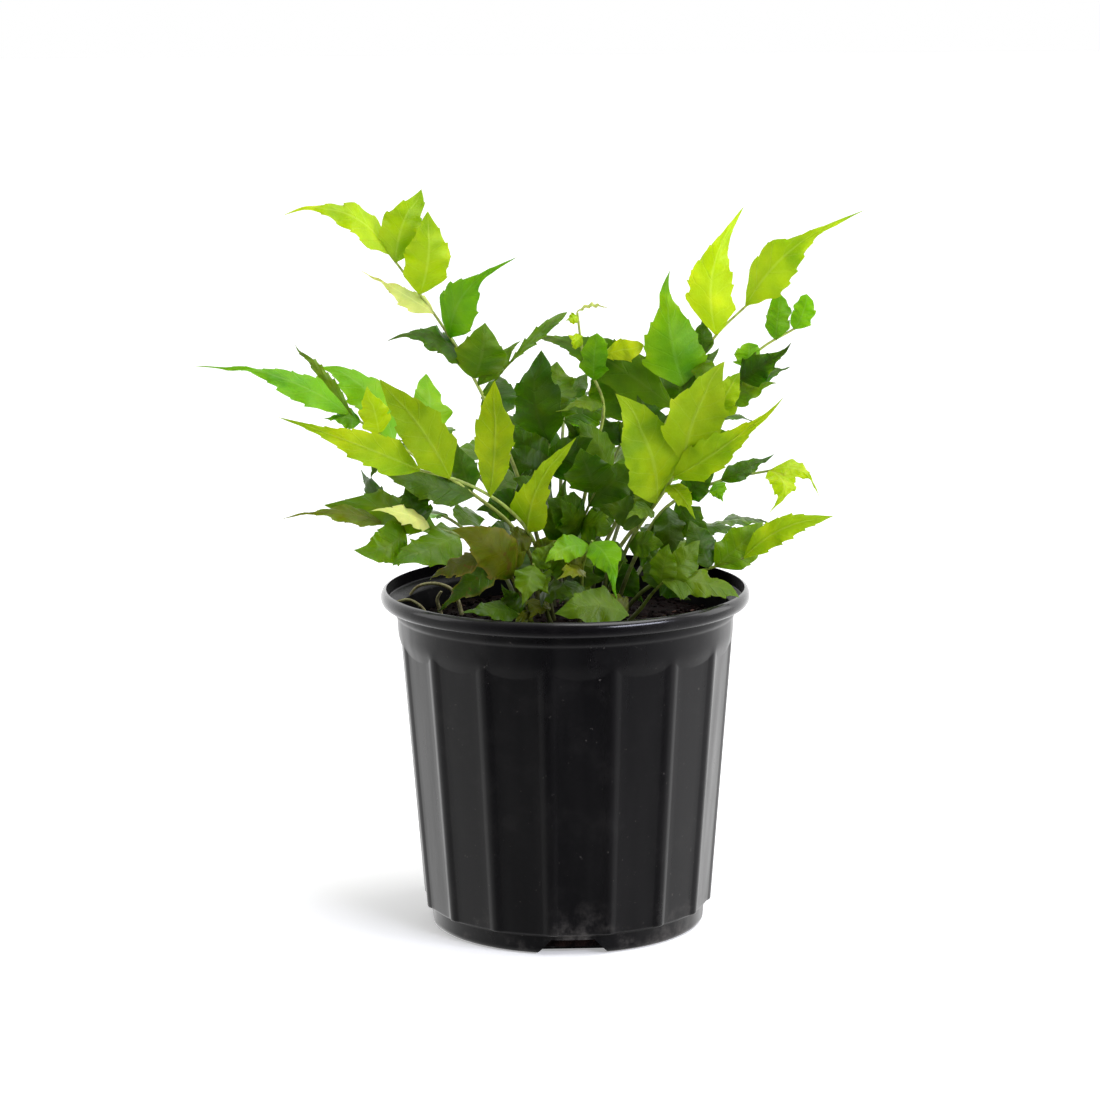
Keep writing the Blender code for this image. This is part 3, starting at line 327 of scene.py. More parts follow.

# More leaflets, in among the rest, with rows as in the fronds' table. Most take the "dark" tone, painted
# shade for the crowded, shaded middle of the plant
MORE_LEAFLETS = {
    "front": (
        (0.5, (5, -56, 158), 13, FRONT, SIMPLE, "dark", 0.0),
        (0.35, (-16, -52, 148), 11, TILT, SIMPLE, "olive", 0.0),
    ),
    "front_right": (
        (0.42, (-3, -50, 154), 12, FRONT, SIMPLE, "dark", 0.0),
        (0.62, (-1, -44, 174), 11, FRONT, OVAL, "olive", 0.0),
    ),
    "middle": (
        (0.32, (-10, -22, 176), 15, FRONT, OVAL, "dark", 0.0),
        (0.25, (18, -24, 160), 14, FRONT, SIMPLE, "dark", 0.0),
        (0.6, (-2, -26, 196), 13, FRONT, OVAL, "dark", 0.0),
    ),
    "upper_left": (
        (0.16, (-23, -14, 154), 15, FRONT, SIMPLE, "dark", 0.0),
        (0.34, (-12, 0, 195), 15, FRONT, OVAL, "dark", 0.0),
        (0.6, (-19, 30, 259), 9, FRONT, SIMPLE, "mid", 0.0),
    ),
    "left": (
        (0.24, (-36, -24, 170), 14, FRONT, OVAL, "olive", 0.0),
        (0.6, (-74, -24, 197), 13, FRONT, SIMPLE, "dark", 0.0),
        (0.95, (-105, -24, 232), 11, TILT, POINTED, "bright", 0.0),
    ),
    "left_front": (
        (0.32, (1, -42, 181), 12, FRONT, SIMPLE, "olive", 0.0),
        (0.4, (-28, -36, 178), 12, FRONT, SIMPLE, "old", 0.0),
    ),
    "young_centre": (
        (0.18, (13, 8, 145), 14, FRONT, SIMPLE, "dark", 0.0),
        (0.32, (-2, 14, 180), 15, FRONT, OVAL, "dark", 0.0),
    ),
    "right_back": (
        (0.22, (21, 6, 152), 15, FRONT, SIMPLE, "dark", 0.0),
        (0.3, (-2, 18, 170), 14, FRONT, OVAL, "dark", 0.0),
    ),
    "upper_right": (
        (0.18, (27, -2, 148), 15, FRONT, SIMPLE, "dark", 0.0),
        (0.4, (15, 6, 181), 14, FRONT, OVAL, "dark", 0.0),
        (0.8, (62, 26, 270), 10, FRONT, SIMPLE, "dark", 0.0),
    ),
    "far_right": (
        (0.14, (35, -4, 145), 15, FRONT, SIMPLE, "dark", 0.0),
        (0.38, (34, 8, 203), 14, FRONT, OVAL, "dark", 0.0),
    ),
    "right_front": (
        (0.3, (15, -22, 170), 12, FRONT, SIMPLE, "dark", 0.0),
        (0.34, (43, -30, 176), 12, FRONT, OVAL, "mid", 0.0),
    ),
    "centre_back": (
        (0.2, (-18, 20, 155), 16, FRONT, SIMPLE, "dark", 0.0),
        (0.3, (6, 24, 180), 16, FRONT, OVAL, "dark", 0.0),
        (0.55, (-20, 24, 205), 15, FRONT, OVAL, "dark", 0.0),
    ),
    "right": (
        (0.3, (43, -10, 167), 13, FRONT, SIMPLE, "dark", 0.0),
        (0.4, (56, -8, 179), 13, FRONT, OVAL, "mid", 0.0),
    ),
    "lower_left": (
        (0.35, (-49, -22, 168), 13, FRONT, SIMPLE, "dark", 0.0),
        (0.75, (-84, -26, 191), 11, TILT, SIMPLE, "pale", 0.0),
    ),
    "lower_right": (
        (0.4, (55, -28, 151), 12, TILT, SIMPLE, "dark", 0.0),
    ),
    "floor_left": (
        (0.9, (-14, -60, 148), 11, TILT, SIMPLE, "olive", 0.0),
    ),
}

# Where a leaflet may go to stay clear of the rest: further back or nearer, along the line of sight from the
# front, then smaller
SIGHT = Vector((0, 0.98, -0.19))
DEPTH_STEPS = (0, 4, -4, 8, -8, 12, -12, 17, -17, 22, -22, 28, -28, 34, -34)
SIZE_STEPS = (1, 0.86, 0.72, 0.58)
FACE_SPREAD = 0.35
ARCHES = (0.09, 0.16)
GUARD_SIDES = 48

# The pot's fine rim, whose bead is half an ellipse, and its soft flutes
BEAD_DEPTH = 7 * MM
BEAD_TURNS = [math.radians(-98 + 17 * i) for i in range(12)]
FLUTE_SOFTNESS = math.radians(1.1)
PANEL_STEPS = 6
RIB_STEPS = 14
INSIDE_RINGS = 17
CORNER_STEPS = 4
BOTTOM_RING_INSET = 9 * MM

# Fine leaflets
STATIONS = 36
COLUMNS = (0.2, 0.4, 0.6, 0.8, 1.0)
COLUMN_START = 0.04
LAST_STATION = 0.985
RIB_HALF_WIDTH = 0.42 * MM
RIB_HEIGHT = 0.34 * MM
RIB_GROOVE = 0.14 * MM
LEAF_HALF_THICKNESS = 0.2 * MM
MARGIN_HALF_THICKNESS = 0.09 * MM
STALK_HALF_WIDTH = 0.5 * MM
TOOTH_PITCH = 6.5 * MM
TOOTH_PITCH_SPREAD = (0.7, 1.3)
TOOTH_HEIGHT = 1.15 * MM
TOOTH_HEIGHT_SPREAD = (0.35, 1)
TOOTH_DROP = 0.55 * MM
TOOTH_LEAN = 0.7
TOOTH_ZONE = (0.18, 0.86)
STATION_GAP = 0.006
OUTLINE_SHARES = np.linspace(0, 1, 201)
OUTLINE_ROUNDING = 3.2
ROUNDING_REACH = 12
TAIL_START = 0.68
TAIL_SWAY = 0.035
RUFFLE = 0.7 * MM
RUFFLES = 4.5
RUFFLE_SHIFT = 1.3
MARGIN_WOBBLE = 0.16
WOBBLE_LENGTH = 5 * MM
SIDE_VEINS = 7.0
VEIN_SLANT = 1.15
QUILT = 0.22 * MM
FINE_STEM = 0.8
STEM_ROUND_SIDES = 12
STEM_FINE_STEP = 4 * MM
OLD_STIPE_STEPS = 24
OLD_STIPE_TAPER = 0.4
SHARP_ANGLE = math.radians(60)
POT_SHARP_ANGLE = math.radians(38)

# Fine soil: its grid, and its lumps as pairs of fineness and height in millimetres
SOIL_FINE_SIDES = 200
SOIL_FINE_RINGS = 90
SOIL_LUMPS = ((70, 1.6), (190, 0.9), (520, 0.45))

# Loose crumbs and bits of bark: how many, the limits of their sizes in millimetres and their forms, and how
# many of them are larger by how much
CRUMBS = 900
CRUMB_SIZES = (0.7, 2.3)
CRUMB_FORM = (1, 1, 0.75)
CHIPS = 90
CHIP_SIZES = (1.6, 4.2)
CHIP_FORM = (1, 0.42, 0.22)
LARGE_SHARE = 0.06
LARGE_GROWTH = 1.6

# The viewing angle
CAMERA_PLACE = (-0.0067, -1.515, 0.452)
CAMERA_PITCH = math.radians(10.6)
CAMERA_ROLL = math.radians(0.4)
CAMERA_LENS = 113.07
CAMERA_SENSOR = 36
CAMERA_CLIP = 100

# Leaflets' and stems' colours, by tone and by material slot
TINTS = {
    "young": (0.41, 0.57, 0.0),
    "bright": (0.14, 0.34, 0.0),
    "mid": (0.09, 0.17, 0.0),
    # The "dark" tint is painted shade: a green darkened to stand for the shade in the middle and at the back
    # of the plant
    "dark": (0.042, 0.09, 0.0),
    "under": (0.24, 0.35, 0.0),
    "old": (0.065, 0.075, 0.0),
    "olive": (0.11, 0.13, 0.0),
    "pale": (0.55, 0.6, 0.15),
}
STEM_TINTS = {
    "leaf_young": (0.42, 0.52, 0.08),
    "leaf_green": (0.2, 0.28, 0.03),
    "leaf_underside": (0.3, 0.4, 0.06),
    "leaf_old": (0.2, 0.22, 0.03),
}
STEM_FOOT_TINT = (0.05, 0.055, 0.01)
STEM_TINT_RISE = 1.6
TINT_SPREAD = (0.85, 1.18)
SPOT_BROWN = (0.09, 0.035, 0.008, 1)
EDGE_BROWN = (0.16, 0.1, 0.015, 1)

# Other colours
PLASTIC_BLACKS = ((0.0028, 0.0024, 0.0032, 1), (0.005, 0.0043, 0.005, 1))
DUST = (0.16, 0.145, 0.13, 1)
PEAT_BROWNS = ((0.0025, 0.0014, 0.0014, 1), (0.012, 0.006, 0.005, 1))
PEAT_FIBRE = (0.06, 0.024, 0.016, 1)
BARK_BROWNS = ((0.012, 0.005, 0.004, 1), (0.09, 0.038, 0.024, 1))
STRAWS = ((0.46, 0.44, 0.22, 1), (0.2, 0.15, 0.07, 1))

# Between these heights the moulded wall's finish turns into the rim's smoother one
RIM_FINISH = (0.143, 0.147)

# The studio, in metres and watts, with each area light's name, place, size, power and colour
FLOOR_REACH = 9
FLOOR_DROP = 0.4 * MM
FLOOR_GLOW = 0.34
KEY_PLACE = (0.35, -0.1, 1.0)
KEY_POWER = 2.1
KEY_SPREAD = math.radians(45)
LIGHT_AIM = (0, 0, 0.16)
LIGHTS = (
    ("front_softbox", (1.0, -0.95, 0.8), (0.9, 0.3), 15, (0.82, 0.84, 1.0)),
    ("right_softbox", (1.5, 0.5, 0.8), (0.8, 1.2), 6.5, (1, 1, 1)),
    ("left_softbox", (-1.6, 0.1, 1.0), (0.9, 1.2), 5.5, (1, 1, 1)),
)

# A leaflet, and a fine shape with its points' places on their leaflet and their tints
Leaf = namedtuple("Leaf", "base tip face width outline bend arch phase tone")
FineShape = namedtuple("FineShape", "points faces slots places shares tints")


def vector(place):
    return Vector(place) * MM


def smooth_path(places, steps=14):
    """Points along a smooth curve through the places."""
    ends = [places[0] * 2 - places[1], *places, places[-1] * 2 - places[-2]]
    points = []
    for a, b, c, d in zip(ends, ends[1:], ends[2:], ends[3:]):
        for i in range(steps):
            t = i / steps
            square = (a * 2 - b * 5 + c * 4 - d) * t**2
            cube = (b * 3 - a - c * 3 + d) * t**3
            points.append((b * 2 + (c - a) * t + square + cube) / 2)
    return [*points, places[-1]]


def path_length(points):
    return sum((b - a).length for a, b in zip(points, points[1:]))


def along_path(points, share):
    """The point at this share of the path's length, and the way the path runs there."""
    left = share * path_length(points)
    for a, b in zip(points, points[1:]):
        length = (b - a).length
        if left <= length:
            break
        left -= length
    return a.lerp(b, min(left / length, 1)), (b - a).normalized()


def around(radius, angle):
    """A place round the pot's axis, counted from the front to the right, as (x, y)."""
    return radius * math.sin(angle), -radius * math.cos(angle)


def bands(rings, sides):
    """The faces between each closed ring of this many points and the next."""
    pairs = [(i * sides + k, i * sides + (k + 1) % sides) for i in range(rings - 1) for k in range(sides)]
    return [(a, b, b + sides, a + sides) for a, b in pairs]


def planted(points):
    """The stem's underground end, straight below its first stretch."""
    return points[0] - (points[1] - points[0]).normalized() * PLANTED_DEPTH


def tube(stations, radii, sides):
    """Points and faces of a closed round stem through the stations."""
    points = []
    turn = None
    for i, place in enumerate(stations):
        before = stations[max(i - 1, 0)]
        after = stations[min(i + 1, len(stations) - 1)]
        axis = (after - before).normalized()
        turn = axis.cross(Vector((0, 1, 0)) if turn is None else turn.cross(axis)).normalized()
        other = axis.cross(turn)
        for k in range(sides):
            angle = math.tau * k / sides
            points.append(place + (turn * math.cos(angle) + other * math.sin(angle)) * radii[i])
    ends = [tuple(range(sides - 1, -1, -1)), tuple(range(len(points) - sides, len(points)))]
    return points, bands(len(stations), sides) + ends


def stem_path(places):
    """A frond's stipe and rachis as the few evenly spaced points that its stem is drawn through."""
    smooth = smooth_path([vector(place) for place in places])
    count = max(round(path_length(smooth) / STEM_STEP), 3)
    return [along_path(smooth, i / count)[0] for i in range(count + 1)]


def stem_radius(share):
    """A living stem's radius at this share of its length above the soil."""
    return STIPE_RADIUS + (RACHIS_TIP_RADIUS - STIPE_RADIUS) * share


def stem_shape(path):
    """A frond's stipe and rachis, from its end in the soil to its last leaflet."""
    radii = [STIPE_RADIUS] + [stem_radius(i / (len(path) - 1)) for i in range(len(path))]
    return tube([planted(path), *path], radii, STEM_SIDES)


def leaf_axes(leaf):
    """The blade's length, and its directions along, across and out of its upper side."""
    run = leaf.tip - leaf.base
    along = run.normalized()
    face = (leaf.face - along * leaf.face.dot(along)).normalized()
    return run.length, along, along.cross(face), face


def blade_point(leaf, axes, share, across):
    """A point of the blade's middle layer: arched along its rib, folded at it and waved at its edges."""
    length, along, side, face = axes
    bow = 4 * share * (1 - share)
    wave = math.sin(math.tau * RIPPLES * share + leaf.phase + (RIPPLE_SHIFT if across < 0 else 0))
    lift = bow * (leaf.arch * length - abs(across) * BLADE_FOLD) + abs(across) * BLADE_RIPPLE * wave
    return leaf.base + along * length * share + side * (leaf.bend * length * bow + across) + face * lift


def zip_chains(rib, edge):
    """Triangles between two chains of (share, index) that run from the base to the same tip."""
    faces = []
    i = j = 0
    while i + 1 < len(rib) or j + 1 < len(edge):
        step_rib = j + 1 == len(edge) or (i + 1 < len(rib) and rib[i + 1][0] < edge[j + 1][0])
        third = rib[i + 1][1] if step_rib else edge[j + 1][1]
        faces.append((rib[i][1], edge[j][1], third))
        i, j = (i + 1, j) if step_rib else (i, j + 1)
    return [face for face in faces if len(set(face)) == 3]


def blade_shape(leaf, grow=0.0):
    """Points and faces of one closed blade, split alike on both sides, with room for a gap round it."""
    axes = leaf_axes(leaf)
    half = leaf.width / 2
    places = [(share, 0.0) for share in RIB_STATIONS] + [(1 + grow / axes[0], 0.0)]
    tip = len(places) - 1
    rib = [(share, i) for i, (share, _) in enumerate(places)]
    edges = []
    for hand in (1, -1):
        chain = [(0, 0)]
        for share, width in leaf.outline:
            chain.append((share, len(places)))
            places.append((share, hand * (half * width + grow)))
        edges.append([*chain, (1, tip)])
    offset = axes[3] * (BLADE_THICKNESS / 2 + grow)
    middle = [blade_point(leaf, axes, share, across) for share, across in places]
    points = [point + offset for point in middle] + [point - offset for point in middle]
    count = len(places)
    upper = zip_chains(rib, edges[0]) + [face[::-1] for face in zip_chains(rib, edges[1])]
    lower = [tuple(i + count for i in face[::-1]) for face in upper]
    loop = [i for _, i in edges[0]] + [i for _, i in reversed(edges[1][1:-1])]
    walls = []
    for a, b in zip(loop, loop[1:] + loop[:1]):
        walls += [(a, b, b + count), (a, b + count, a + count)]
    return points, upper + lower + walls


def lathe(profile, sides):
    """Points and faces of an open turned surface through pairs of radius and height."""
    angles = [math.tau * k / sides for k in range(sides)]
    points = [Vector((*around(radius, angle), height)) for radius, height in profile for angle in angles]
    return points, bands(len(profile), sides)


def inner_wall():
    """The inner wall's upper and lower ends, as pairs of radius and height."""
    top = (COLLAR_RADIUS + COLLAR_FLARE - WALL, POT_HEIGHT - RIM_DEPTH - SHELF_DROP)
    return top, (FOOT_RADIUS - WALL, FLOOR_TOP)


def inner_radius(height):
    """The radius of the pot's inner wall."""
    top, foot = inner_wall()
    return foot[0] + (top[0] - foot[0]) * (height - foot[1]) / (top[1] - foot[1])


def soil_height(radius):
    """The soil's level before its roughness: a low mound, highest in the middle."""
    return POT_HEIGHT - SOIL_DEPTH + SOIL_MOUND * (1 - (radius / MOUTH_RADIUS) ** 2)


def pot_guard():
    """The pot's inner wall and rim, which no leaflet may touch."""
    top, foot = inner_wall()
    under = POT_HEIGHT - RIM_DEPTH
    profile = (foot, top, (MOUTH_RADIUS, under + SHELF_STEP), (MOUTH_RADIUS, POT_HEIGHT),
               (RIM_RADIUS, POT_HEIGHT), (RIM_RADIUS, under), (COLLAR_RADIUS, under))
    return lathe(profile, GUARD_SIDES)


def soil_guard():
    """A surface just over the soil."""
    radii = [MOUTH_RADIUS * share for share in SOIL_RINGS]
    return lathe([(radius, soil_height(radius) + 2 * SOIL_ROUGHNESS) for radius in radii], GUARD_SIDES)


def draw_leaf(rng):
    """A leaflet's own chances: its arch, the phase of its waves, and how it turns left, right, up or down."""
    return (rng.uniform(*ARCHES), rng.uniform(0, math.tau),
            Vector((rng.uniform(-1, 1), 0, rng.uniform(-0.5, 0.5))) * FACE_SPREAD)


def leaf_of(path, spec, chances, depth, size):
    """The leaflet of a table's row, moved along the line of sight and resized."""
    share, tip, width, face, outline, tone, bend = spec
    arch, phase, turn = chances
    share = min(share, 1 - STEM_END / path_length(path))
    front = Vector(face) + turn
    base = along_path(path, share)[0] + front.normalized() * stem_radius(share) * BLADE_SEAT
    tip = vector(tip) + SIGHT * depth * MM
    tip = base + (tip - base) * size
    base -= (tip - base).normalized() * BLADE_ROOT_SINK
    hand = -1 if tone == "under" else 1
    return Leaf(base, tip, front * hand, width * MM * size, outline, bend * hand, arch * hand, phase, tone)


def blade_tree(leaf, grow=0.0):
    """The blade as a search tree, with room for a gap round it."""
    return BVHTree.FromPolygons(*blade_shape(leaf, grow))


def free_part(leaf):
    """The blade without its foot, where it may meet its own frond's other leaflets."""
    return blade_tree(leaf._replace(base=leaf.base.lerp(leaf.tip, BLADE_FOOT)))


def clear_leaf(path, spec, chances, others, own):
    """The leaflet in its first place clear of the rest, if possible also of its own frond's others."""
    for trees, sizes in ((own, (1,)), ([], SIZE_STEPS)):
        for size in sizes:
            for depth in DEPTH_STEPS:
                leaf = leaf_of(path, spec, chances, depth, size)
                fat = blade_tree(leaf, BLADE_GAP)
                free = free_part(leaf)
                hits = [tree for tree in others if fat.overlap(tree)]
                if not hits and not any(free.overlap(tree) for tree in trees):
                    return leaf
    return None


def paired_leaves(path, count, rng):
    """Rows for leaflets that stand left and right of the rachis in turn, the last one at its end."""
    rows = []
    for k in range(count):
        share = FIRST_PAIR + (1 - FIRST_PAIR) * k / (count - 1)
        place, way = along_path(path, share)
        level = way.cross(Vector((0, 0, 1))).normalized()
        over = level.cross(way)
        last = k == count - 1
        hand = 0 if last else (-1) ** k
        reach = PAIR_REACH * (1.15 - 0.35 * share) * rng.uniform(0.92, 1.08)
        ahead = way * (1 if last else 0.52) - over * rng.uniform(-0.1, 0.25)
        aim = (level * hand * 0.86 + ahead).normalized()
        tip = place / MM + aim * reach
        # The "dark" tone is painted shade, as in the fronds' table
        tone = rng.choice(("bright", "mid", "mid", "dark"))
        bend = 0 if last else hand * rng.uniform(0.03, 0.1)
        rows.append((share, tip, reach * rng.uniform(*PAIR_WIDTHS), over, SIMPLE, tone, bend))
    return rows


def fixed_trees():
    """What no leaflet may touch: the pot, the soil and the old stipes."""
    shapes = [pot_guard(), soil_guard(), *[stipe_shape(places) for places in OLD_STIPES]]
    return [BVHTree.FromPolygons(*shape) for shape in shapes]


def grow_fronds():
    """Every frond's path and its leaflets, each clear of every other frond, the pot and the soil."""
    paths = {name: stem_path(spec[0]) for name, spec in (FRONDS | BACK_FRONDS).items()}
    stems = {name: BVHTree.FromPolygons(*stem_shape(path)) for name, path in paths.items()}
    fixed = fixed_trees()
    blades = []
    fronds = {}
    for name, path in paths.items():
        rng = random.Random(name)
        rows = FRONDS[name][1] if name in FRONDS else paired_leaves(path, BACK_FRONDS[name][1], rng)
        others = [*fixed, *blades, *[tree for other, tree in stems.items() if other != name]]
        leaves = []
        own = []
        for row in rows:
            leaf = clear_leaf(path, row, draw_leaf(rng), others, own)
            if leaf:
                leaves.append(leaf)
                own.append(free_part(leaf))
                blades.append(blade_tree(leaf))
        fronds[name] = (path, leaves)
    return fronds


def stipe_shape(places):
    """An old cut stipe, thinner than a living one."""
    path = smooth_path([vector(place) for place in places])
    stations = [planted(path)] + [along_path(path, i / 5)[0] for i in range(6)]
    return tube(stations, [OLD_STIPE_RADIUS] * len(stations), STEM_SIDES)


def half_widths(outline):
    """A leaflet's half width along its length, as shares of the widest, with its corners rounded."""
    places = [0, *[share for share, _ in outline], 1]
    line = np.interp(OUTLINE_SHARES, places, [0, *[width for _, width in outline], 0])
    reach = np.arange(-ROUNDING_REACH, ROUNDING_REACH + 1)
    kernel = np.exp(-0.5 * (reach / OUTLINE_ROUNDING) ** 2)
    return np.convolve(np.pad(line, ROUNDING_REACH, mode="edge"), kernel / kernel.sum(), "valid")


def margin_teeth(length, rng):
    """One margin's teeth, as (notch before it, tip, height)."""
    teeth = []
    place = TOOTH_ZONE[0] + rng.uniform(0, 1) * TOOTH_PITCH / length
    notch = place - TOOTH_PITCH / length
    while place < TOOTH_ZONE[1]:
        teeth.append((max(notch, 0.05), place, TOOTH_HEIGHT * rng.uniform(*TOOTH_HEIGHT_SPREAD)))
        notch = place + TOOTH_DROP / length
        place += rng.uniform(*TOOTH_PITCH_SPREAD) * TOOTH_PITCH / length
    return teeth


def margin(teeth, widths, half, length, share, seed):
    """How far the margin stands from the rib here, and how far it leans towards the tip."""
    envelope = float(np.interp(share, OUTLINE_SHARES, widths))
    envelope *= 1 + MARGIN_WOBBLE * noise.noise((share * length / WOBBLE_LENGTH, seed * 90, 0))
    rise = lean = 0.0
    for notch, tip, height in teeth:
        if notch <= share <= tip:
            reach = ((share - notch) / (tip - notch)) ** 2
            rise = height * reach * min(1, envelope * 1.6)
            lean = rise * TOOTH_LEAN / length
    stalk = STALK_HALF_WIDTH * (1 - 0.75 * share) * (1 - share) ** 0.3
    return max(envelope * half + rise, stalk), lean


def blade_stations(length, sides):
    """Where the blade's rings stand, as shares of its length: evenly, and at each tooth's tip and notch."""
    wanted = [i / STATIONS for i in range(STATIONS)]
    for teeth in sides:
        for _, tip, _ in teeth:
            wanted += [tip, tip + TOOTH_DROP / length]
    kept = []
    for share in sorted(wanted):
        if share < LAST_STATION and (not kept or share - kept[-1] > STATION_GAP):
            kept.append(share)
    return kept


def fine_point(leaf, axes, share, across, u, sway):
    """A point of the blade's middle layer: the solid's form, with ruffled margins and a curled tail."""
    point = blade_point(leaf, axes, share, across)
    turn = math.tau * RUFFLES * share + leaf.phase * 2 + (RUFFLE_SHIFT if across < 0 else 0)
    ruffle = RUFFLE * u * u * math.sin(turn)
    swell = QUILT * math.cos(math.tau * (SIDE_VEINS * share - VEIN_SLANT * u)) * 4 * u * (1 - u)
    point += axes[3] * (ruffle + swell) * math.sin(math.pi * share)
    tail = max(share - TAIL_START, 0) / (1 - TAIL_START)
    curl = math.sin(math.pi * tail) * axes[0]
    return point + axes[2] * sway[0] * curl + axes[3] * sway[1] * curl


def fine_blade(leaf, tint, rng):
    """One leaflet as closed rings across it, from its stalk to its tip."""
    axes = leaf_axes(leaf)
    length, _, _, face = axes
    half = leaf.width / 2
    sides = [margin_teeth(length, rng), margin_teeth(length, rng)]
    widths = half_widths(leaf.outline)
    sway = (rng.uniform(-1, 1) * TAIL_SWAY, rng.uniform(-1, 1) * TAIL_SWAY)
    seed = rng.random()
    shape = FineShape([], [], [], [], [], [])

    def add(point, share, across, u):
        shape.points.append(point)
        shape.places.append((share * length, across, seed))
        shape.shares.append((share, u, seed))
        shape.tints.append(tint)

    for share in blade_stations(length, sides):
        rows = []
        for hand, teeth in ((-1, sides[0]), (1, sides[1])):
            reach, lean = margin(teeth, widths, half, length, share, seed + hand)
            rib = min(RIB_HALF_WIDTH, reach * 0.45) / reach
            columns = [rib, *[rib + (1 - rib) * (c - COLUMN_START) / (1 - COLUMN_START) for c in COLUMNS]]
            rows.append([(hand * u * reach, hand * u, share + lean * u**3) for u in columns])
        fade = min(1, 4 * (1 - share))
        upper = []
        lower = []
        for across, u, place in [*rows[0][::-1], (0.0, 0.0, share), *rows[1]]:
            middle = fine_point(leaf, axes, place, across, abs(u), sway)
            thick = MARGIN_HALF_THICKNESS + (LEAF_HALF_THICKNESS - MARGIN_HALF_THICKNESS) * (1 - abs(u))
            groove, ridge = (RIB_GROOVE * fade, RIB_HEIGHT * fade) if u == 0 else (0, 0)
            upper.append((middle + face * (thick - groove), place, across, u))
            lower.append((middle - face * (thick + ridge), place, across, u))
        for record in [*upper, *lower[::-1]]:
            add(*record)
    side = 2 * len(COLUMNS) + 3
    ring = 2 * side
    tip = len(shape.points)
    count = tip // ring
    add(fine_point(leaf, axes, 1, 0, 0, sway), 1, 0, 0)
    first = tip - ring
    end = [(first + k, first + (k + 1) % ring, tip) for k in range(ring)]
    shape.faces.extend([*bands(count, ring), tuple(range(ring)), *end])
    round_slots = [0] * side + [1] * side
    shape.slots.extend([*round_slots * (count - 1), 1, *round_slots])
    return shape


def fine_stem(path, tint, foot_tint):
    """A frond's stipe and rachis as one smooth tapering tube, and the curve along it."""
    smooth = smooth_path(path, 12)
    length = path_length(smooth)
    count = max(round(length / STEM_FINE_STEP), 8)
    stations = [planted(path)] + [along_path(smooth, i / count)[0] for i in range(count + 1)]
    radii = [STIPE_RADIUS] + [stem_radius(i / count) for i in range(count + 1)]
    points, faces = tube(stations, [radius * FINE_STEM for radius in radii], STEM_ROUND_SIDES)
    shares = [max(i - 1, 0) / count for i in range(count + 2) for _ in range(STEM_ROUND_SIDES)]
    tints = []
    for share in shares:
        rise = min(share * STEM_TINT_RISE, 1)
        tints.append(tuple(a + (b - a) * rise for a, b in zip(foot_tint, tint)))
    places = [(share * length, 0.0, 0.5) for share in shares]
    ways = [(share, 0.0, 0.5) for share in shares]
    return smooth, FineShape(points, faces, [2] * len(faces), places, ways, tints)


def add_mesh(name, shapes, finishes, body="root"):
    """One object of these shapes, with each point's place on its leaflet and its tint for the materials."""
    points = []
    faces = []
    slots = []
    layers = {"leaf_place": [], "leaf_share": [], "leaf_tint": []}
    for shape in shapes:
        first = len(points)
        points += shape.points
        faces += [tuple(i + first for i in face) for face in shape.faces]
        slots += shape.slots
        for layer, values in zip(layers.values(), (shape.places, shape.shares, shape.tints)):
            layer += values
    mesh = bpy.data.meshes.new(name)
    mesh.from_pydata(points, [], faces)
    mesh.polygons.foreach_set("material_index", slots)
    for layer, values in layers.items():
        if values:
            data = mesh.attributes.new(layer, "FLOAT_VECTOR", "POINT").data
            data.foreach_set("vector", np.array(values, np.float32).ravel())
    work = bmesh.new()
    work.from_mesh(mesh)
    bmesh.ops.recalc_face_normals(work, faces=work.faces)
    work.to_mesh(mesh)
    work.free()
    mesh.shade_smooth()
    mesh.set_sharp_from_angle(angle=SHARP_ANGLE)
    for finish in finishes:
        mesh.materials.append(finish)
    obj = bpy.data.objects.new(name, mesh)
    bpy.context.scene.collection.objects.link(obj)
    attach(obj, body)
    return obj


def put(tree, socket, value):
    """Links this output to the socket, or sets the socket's own value."""
    if isinstance(value, bpy.types.NodeSocket):
        tree.links.new(value, socket)
    else:
        socket.default_value = value


def add_node(tree, kind, values=None, **settings):
    """A shader node with these settings, and these values or links on its inputs."""
    made = tree.nodes.new(kind)
    for name, value in settings.items():
        setattr(made, name, value)
    for name, value in (values or {}).items():
        put(tree, made.inputs[name], value)
    return made


def calculate(tree, operation, a, b=0.0, c=0.0):
    return add_node(tree, "ShaderNodeMath", {0: a, 1: b, 2: c}, operation=operation).outputs[0]


def product(tree, a, b):
    return calculate(tree, "MULTIPLY", a, b)


def scaled(tree, place, scale):
    """This place with each of its axes scaled."""
    return add_node(tree, "ShaderNodeVectorMath", {0: place, 1: scale}, operation="MULTIPLY").outputs[0]


def mix_colours(tree, share, a, b):
    """The first colour, turned into the second by this share."""
    return add_node(tree, "ShaderNodeMix", {0: share, 6: a, 7: b}, data_type="RGBA").outputs[2]


def ramp(tree, value, low, high, start=0.0, end=1.0):
    """A soft step from start to end, as the value goes from low to high."""
    limits = {"Value": value, "From Min": low, "From Max": high, "To Min": start, "To Max": end}
    return add_node(tree, "ShaderNodeMapRange", limits, interpolation_type="SMOOTHSTEP").outputs["Result"]


def speckle(tree, place, scale, detail=3.0, rough=0.55):
    """Soft random patches, finer with the scale."""
    values = {"Vector": place, "Scale": scale, "Detail": detail, "Roughness": rough}
    return add_node(tree, "ShaderNodeTexNoise", values).outputs["Fac"]


def attribute(tree, name):
    return add_node(tree, "ShaderNodeAttribute", attribute_name=name).outputs["Vector"]


def object_place(tree):
    return add_node(tree, "ShaderNodeTexCoord").outputs["Object"]


def varied(tree, colour, hue, value, saturation=1.0):
    """This colour with its hue, brightness and saturation changed."""
    values = {"Hue": hue, "Saturation": saturation, "Value": value, "Color": colour}
    return add_node(tree, "ShaderNodeHueSaturation", values).outputs[0]


